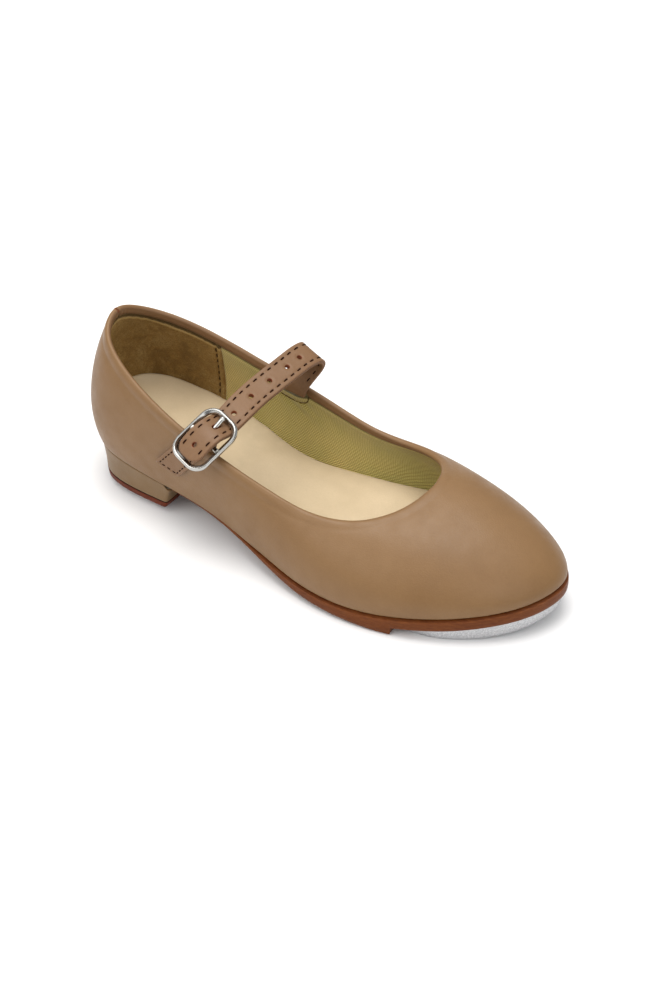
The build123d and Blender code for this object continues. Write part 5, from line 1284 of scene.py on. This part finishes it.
def strap_piece():
    H = 0.95
    ht = 0.335
    nt = int(STRAP_LEN / ht); t = np.linspace(0.10, STRAP_LEN, nt)
    t[:16] = 5.4 * (1 - np.cos(np.linspace(0.10, acos_(1 - t[16] / 5.4), 17)))[:16]
    nq = 33; q = np.linspace(-1, 1, nq)
    hw = half_w(t) - 0.36
    Tg = np.repeat(t[:, None], nq, 1); Yg = hw[:, None] * q[None, :]
    mids = [(np.array(a) + np.array(b)) / 2 for a, b in STITCHES]
    ends = [np.array(e) for st in STITCHES for e in st]

    def disp(T_, Y_, sgn=1):
        hwf = half_w(T_); d_edge = hwf - np.abs(Y_)
        z = 0.10 * (1 - (Y_ / (STRAP_W / 2)) ** 4)
        line = np.abs(np.abs(Y_) - ROW_Y)
        on = (T_ < STRAP_LEN - 5.0) * (T_ > 1.6)
        z = z - 0.11 * np.exp(-(line / 0.36) ** 2) * on
        for e in ends:
            m = (np.abs(T_ - e[0]) < 1.0) & (np.abs(Y_ - e[1]) < 1.0)
            if m.any():
                z = z - np.where(m, 0.24 * np.exp(-(((T_ - e[0]) / 0.30) ** 2 + ((Y_ - e[1]) / 0.30) ** 2)), 0)
        z = z + bend_noise(T_, Y_, 0.04, 41, smin=5, smax=16)
        for th in HOLES:
            r = np.hypot(T_ - th, Y_); z = z - 0.12 * np.exp(-((r - 0.95) / 0.55) ** 2) * (r > 0.5) + 0.06 * np.exp(-((r - 2.0) / 0.5) ** 2)
        return z
    topv = sp3(Tg, Yg, H + disp(Tg, Yg)); botv = sp3(Tg, Yg, -H - 0.5 * disp(Tg, Yg))
    V = [topv.reshape(-1, 3), botv.reshape(-1, 3)]; fab = [np.stack([Tg, Yg, 0 * Tg], -1).reshape(-1, 3), np.stack([Tg, Yg, 0 * Tg - 2], -1).reshape(-1, 3)]
    nT = nt * nq; F = []; FM = []
    # which cells are cut out
    cut = np.zeros((nt - 1, nq - 1), bool); blocks = []
    for th in HOLES:
        i = int(np.argmin(np.abs(t - th))); j = nq // 2
        i0, i1, j0, j1 = i - 5, i + 5, j - 5, j + 5
        i0 = max(i0, 1)
        cut[i0:i1, j0:j1] = True; blocks.append((i0, i1, j0, j1, th, th, 0.95))
    i0 = int(np.argmin(np.abs(t - (SLOT[0] - 0.7)))); i1 = int(np.argmin(np.abs(t - (SLOT[1] + 0.7)))); j = nq // 2
    cut[i0:i1, j - 5:j + 5] = True; blocks.append((i0, i1, j - 5, j + 5, SLOT[0] + SLOT[2], SLOT[1] - SLOT[2], SLOT[2]))
    for i in range(nt - 1):
        for jj in range(nq - 1):
            if cut[i, jj]:
                continue
            a, b, c, d = i * nq + jj, (i + 1) * nq + jj, (i + 1) * nq + jj + 1, i * nq + jj + 1
            F.append([a, d, c, b]); FM.append(0); F.append([nT + a, nT + b, nT + c, nT + d]); FM.append(1)
    base = 2 * nT
    for (i0, i1, j0, j1, ta, tb, r) in blocks:
        loop = [(i, j0) for i in range(i0, i1)] + [(i1, jj) for jj in range(j0, j1)] + [(i, j1) for i in range(i1, i0, -1)] + [(i0, jj) for jj in range(j1, j0, -1)]
        P2 = np.array([(t[i], Yg[i, jj]) for i, jj in loop]); n = len(loop)
        # matching points on the hole's outline
        cen = np.clip(P2[:, 0], ta, tb); dv = P2 - np.stack([cen, 0 * cen], -1); dv /= np.linalg.norm(dv, axis=1, keepdims=True)
        rim = np.stack([cen, 0 * cen], -1) + dv * r
        prevT = np.array([i * nq + jj for i, jj in loop]); prevB = prevT + nT
        nxi = np.roll(np.arange(n), -1)
        for k in (0.45, 0.75, 0.93, 1.0):
            q2 = P2 * (1 - k) + rim * k
            dz = disp(q2[:, 0], q2[:, 1]); round_ = 0.16 if k == 1.0 else 0.0
            tv = sp3(q2[:, 0], q2[:, 1], H + dz - round_); bv = sp3(q2[:, 0], q2[:, 1], -H - 0.5 * dz + round_)
            V += [tv, bv]; fab += [np.stack([q2[:, 0], q2[:, 1], 0 * q2[:, 0]], -1)] * 2
            ct, cb = base + np.arange(n), base + n + np.arange(n); base += 2 * n
            for a_ in range(n):
                b_ = nxi[a_]; F.append([prevT[a_], prevT[b_], ct[b_], ct[a_]]); FM.append(0 if k < 1 else 2); F.append([prevB[a_], cb[a_], cb[b_], prevB[b_]]); FM.append(1)
            prevT, prevB = ct, cb
        wr = rim + dv * 0.05
        for w in (0.55, 0.1, -0.1, -0.55):
            q2 = rim + dv * (0.10 if abs(w) < 0.2 else 0.02)
            tv = sp3(q2[:, 0], q2[:, 1], np.full(n, w)); V.append(tv); fab.append(np.stack([q2[:, 0], q2[:, 1], np.full(n, w)], -1)); ct = base + np.arange(n); base += n
            for a_ in range(n):
                b_ = nxi[a_]; F.append([prevT[a_], prevT[b_], ct[b_], ct[a_]]); FM.append(2)
            prevT = ct
        for a_ in range(n):
            b_ = nxi[a_]; F.append([prevT[a_], prevT[b_], prevB[b_], prevB[a_]]); FM.append(2)
    # outer edge: both plies rounded, with the parting line between them
    perim = [(i, 0) for i in range(nt)] + [(nt - 1, jj) for jj in range(1, nq)] + [(i, nq - 1) for i in range(nt - 2, -1, -1)] + [(0, jj) for jj in range(nq - 2, 0, -1)]
    n = len(perim); PT = np.array([(t[i], Yg[i, jj]) for i, jj in perim])
    tang = np.roll(PT, -1, 0) - np.roll(PT, 1, 0); tang /= np.maximum(np.linalg.norm(tang, axis=1, keepdims=True), 1e-9); outn = np.stack([tang[:, 1], -tang[:, 0]], -1)
    # the perimeter runs up the -y side first, so outwards is -y there
    sgn = 1.0 if (outn[nt // 2, 1] < 0) else -1.0; outn = outn * sgn
    prev = np.array([i * nq + jj for i, jj in perim]); nxi = np.roll(np.arange(n), -1)
    for o_, w in ((0.20, 0.90), (0.32, 0.72), (0.36, 0.45), (0.33, 0.14), (0.22, 0.03), (0.22, -0.03), (0.33, -0.14), (0.36, -0.45), (0.32, -0.72), (0.20, -0.90)):
        q2 = PT + outn * o_; V.append(sp3(q2[:, 0], q2[:, 1], np.full(n, w))); fab.append(np.stack([q2[:, 0], q2[:, 1], np.full(n, w)], -1))
        cur = base + np.arange(n); base += n
        for a_ in range(n):
            b_ = nxi[a_]; F.append([prev[a_], prev[b_], cur[b_], cur[a_]]); FM.append(3)
        prev = cur
    cur = prev; low = np.array([i * nq + jj for i, jj in perim]) + nT
    for a_ in range(n):
        b_ = nxi[a_]; F.append([cur[a_], cur[b_], low[b_], low[a_]]); FM.append(3)
    o = make("strap_stitched_leather", np.concatenate(V), F, [MAT["strap"], MAT["back"], MAT["hole"], MAT["rawedge"]], None, fmat=FM, fab=np.concatenate(fab), slot="strap_leather", replaces=("strap_outer", "strap_backing"))
    sb = Bag()
    for (ta, ya), (tb, yb) in STITCHES:
        pa = sp3(np.array([ta]), np.array([ya]), np.array([H - 0.02]))[0]; pb_ = sp3(np.array([tb]), np.array([yb]), np.array([H - 0.02]))[0]
        N = strap_frame(np.array([(ta + tb) / 2]))[3][0]; stitch(sb, pa, pb_, N, r=0.30, sink=0.30, rise=0.15)
        pa = sp3(np.array([ta]), np.array([ya]), np.array([-H]))[0]; pb_ = sp3(np.array([tb]), np.array([yb]), np.array([-H]))[0]
        stitch(sb, pa, pb_, -N, r=0.21, sink=0.26, rise=0.12)
    st = sb.make("strap_stitches", MAT["thread"], slot="strap_leather")
    for piece in (o, st):
        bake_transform(piece)


def acos_(x):
    return math.acos(max(-1.0, min(1.0, x)))


strap_piece()

# ------------------------------------------------------------------ floor, light, camera
def floor():
    m = M("studio_floor"); o = m.mm(kind="obj"); n_ = m.noise(o, 0.01, 3, 0.5)
    m.set(color=m.ramp(n_, [(0.3, (0.86, 0.86, 0.86, 1)), (0.7, (0.90, 0.90, 0.90, 1))]), rough=0.6, spec=0.2, normal=m.bump(m.noise(o, 0.8, 4, 0.6), 0.02))
    me = bpy.data.meshes.new("floor"); R = 6.0
    me.from_pydata([(-R, -R, -0.0002), (R, -R, -0.0002), (R, R, -0.0002), (-R, R, -0.0002)], [], [(0, 1, 2, 3)]); me.materials.append(m.m)
    f = bpy.data.objects.new("floor", me); bpy.context.scene.collection.objects.link(f)


floor()


def area(name, loc_, target, size, power, color=(1, 1, 1), sy=None):
    l = bpy.data.lights.new(name, "AREA"); l.energy = power; l.color = color; l.shape = "RECTANGLE"; l.size = size; l.size_y = sy or size
    o = bpy.data.objects.new(name, l); bpy.context.scene.collection.objects.link(o); o.location = loc_
    o.rotation_mode = "QUATERNION"; o.rotation_quaternion = (Vector(target) - Vector(loc_)).to_track_quat("-Z", "Y")


MIDP = (0.075, 0.0, 0.025)
area("key", (-0.05, 0.12, 1.35), MIDP, 1.0, 14.0, (1.0, 0.99, 0.97))
area("front", (-0.45, -1.05, 0.85), MIDP, 1.0, 6.0, (1.0, 0.985, 0.96))
area("side", (1.1, -0.55, 0.8), MIDP, 0.9, 3.5, (0.97, 0.985, 1.0))
w = bpy.data.worlds.new("world"); w.use_nodes = True; bpy.context.scene.world = w
nt = w.node_tree; bg = nt.nodes["Background"]; bg.inputs[1].default_value = 0.76
tc = nt.nodes.new("ShaderNodeTexCoord"); sp = nt.nodes.new("ShaderNodeSeparateXYZ"); cr = nt.nodes.new("ShaderNodeValToRGB")
nt.links.new(tc.outputs["Generated"], sp.inputs[0]); nt.links.new(sp.outputs[2], cr.inputs[0]); nt.links.new(cr.outputs[0], bg.inputs[0])
el_ = cr.color_ramp.elements; el_[0].position = 0.0; el_[0].color = (0.30, 0.30, 0.31, 1); el_[1].position = 0.9; el_[1].color = (1.25, 1.25, 1.25, 1)
for p_, c_ in ((0.22, (0.42, 0.42, 0.43, 1)), (0.45, (0.85, 0.85, 0.86, 1))):
    q_e = el_.new(p_); q_e.color = c_

B_ = np.array((0.434, -0.665, 0.608)); B_ /= np.linalg.norm(B_)
az, el = radians(33.1314), radians(37.4287)
B_ = np.array((sin(az) * cos(el), -cos(az) * cos(el), sin(el)))
EYE = np.array((482.66, -591.01, 555.24))
cam = bpy.data.cameras.new("camera"); co = bpy.data.objects.new("camera", cam); bpy.context.scene.collection.objects.link(co)
co.location = tuple(row(EYE)[0]); co.rotation_mode = "QUATERNION"
q0 = Vector(tuple(-B_)).to_track_quat("-Z", "Y"); from mathutils import Quaternion
co.rotation_quaternion = q0 @ Quaternion((0, 0, 1), radians(0.2325))
cam.sensor_fit = "VERTICAL"; cam.sensor_height = 36.0; cam.sensor_width = 36.0; cam.lens = 2432.17 * 36 / 1000; cam.clip_start = 0.01; cam.clip_end = 50
bpy.context.scene.camera = co
sc_ = bpy.context.scene
sc_.view_settings.view_transform = "Standard"; sc_.view_settings.look = "None"; sc_.view_settings.exposure = 0.0; sc_.view_settings.gamma = 1.0
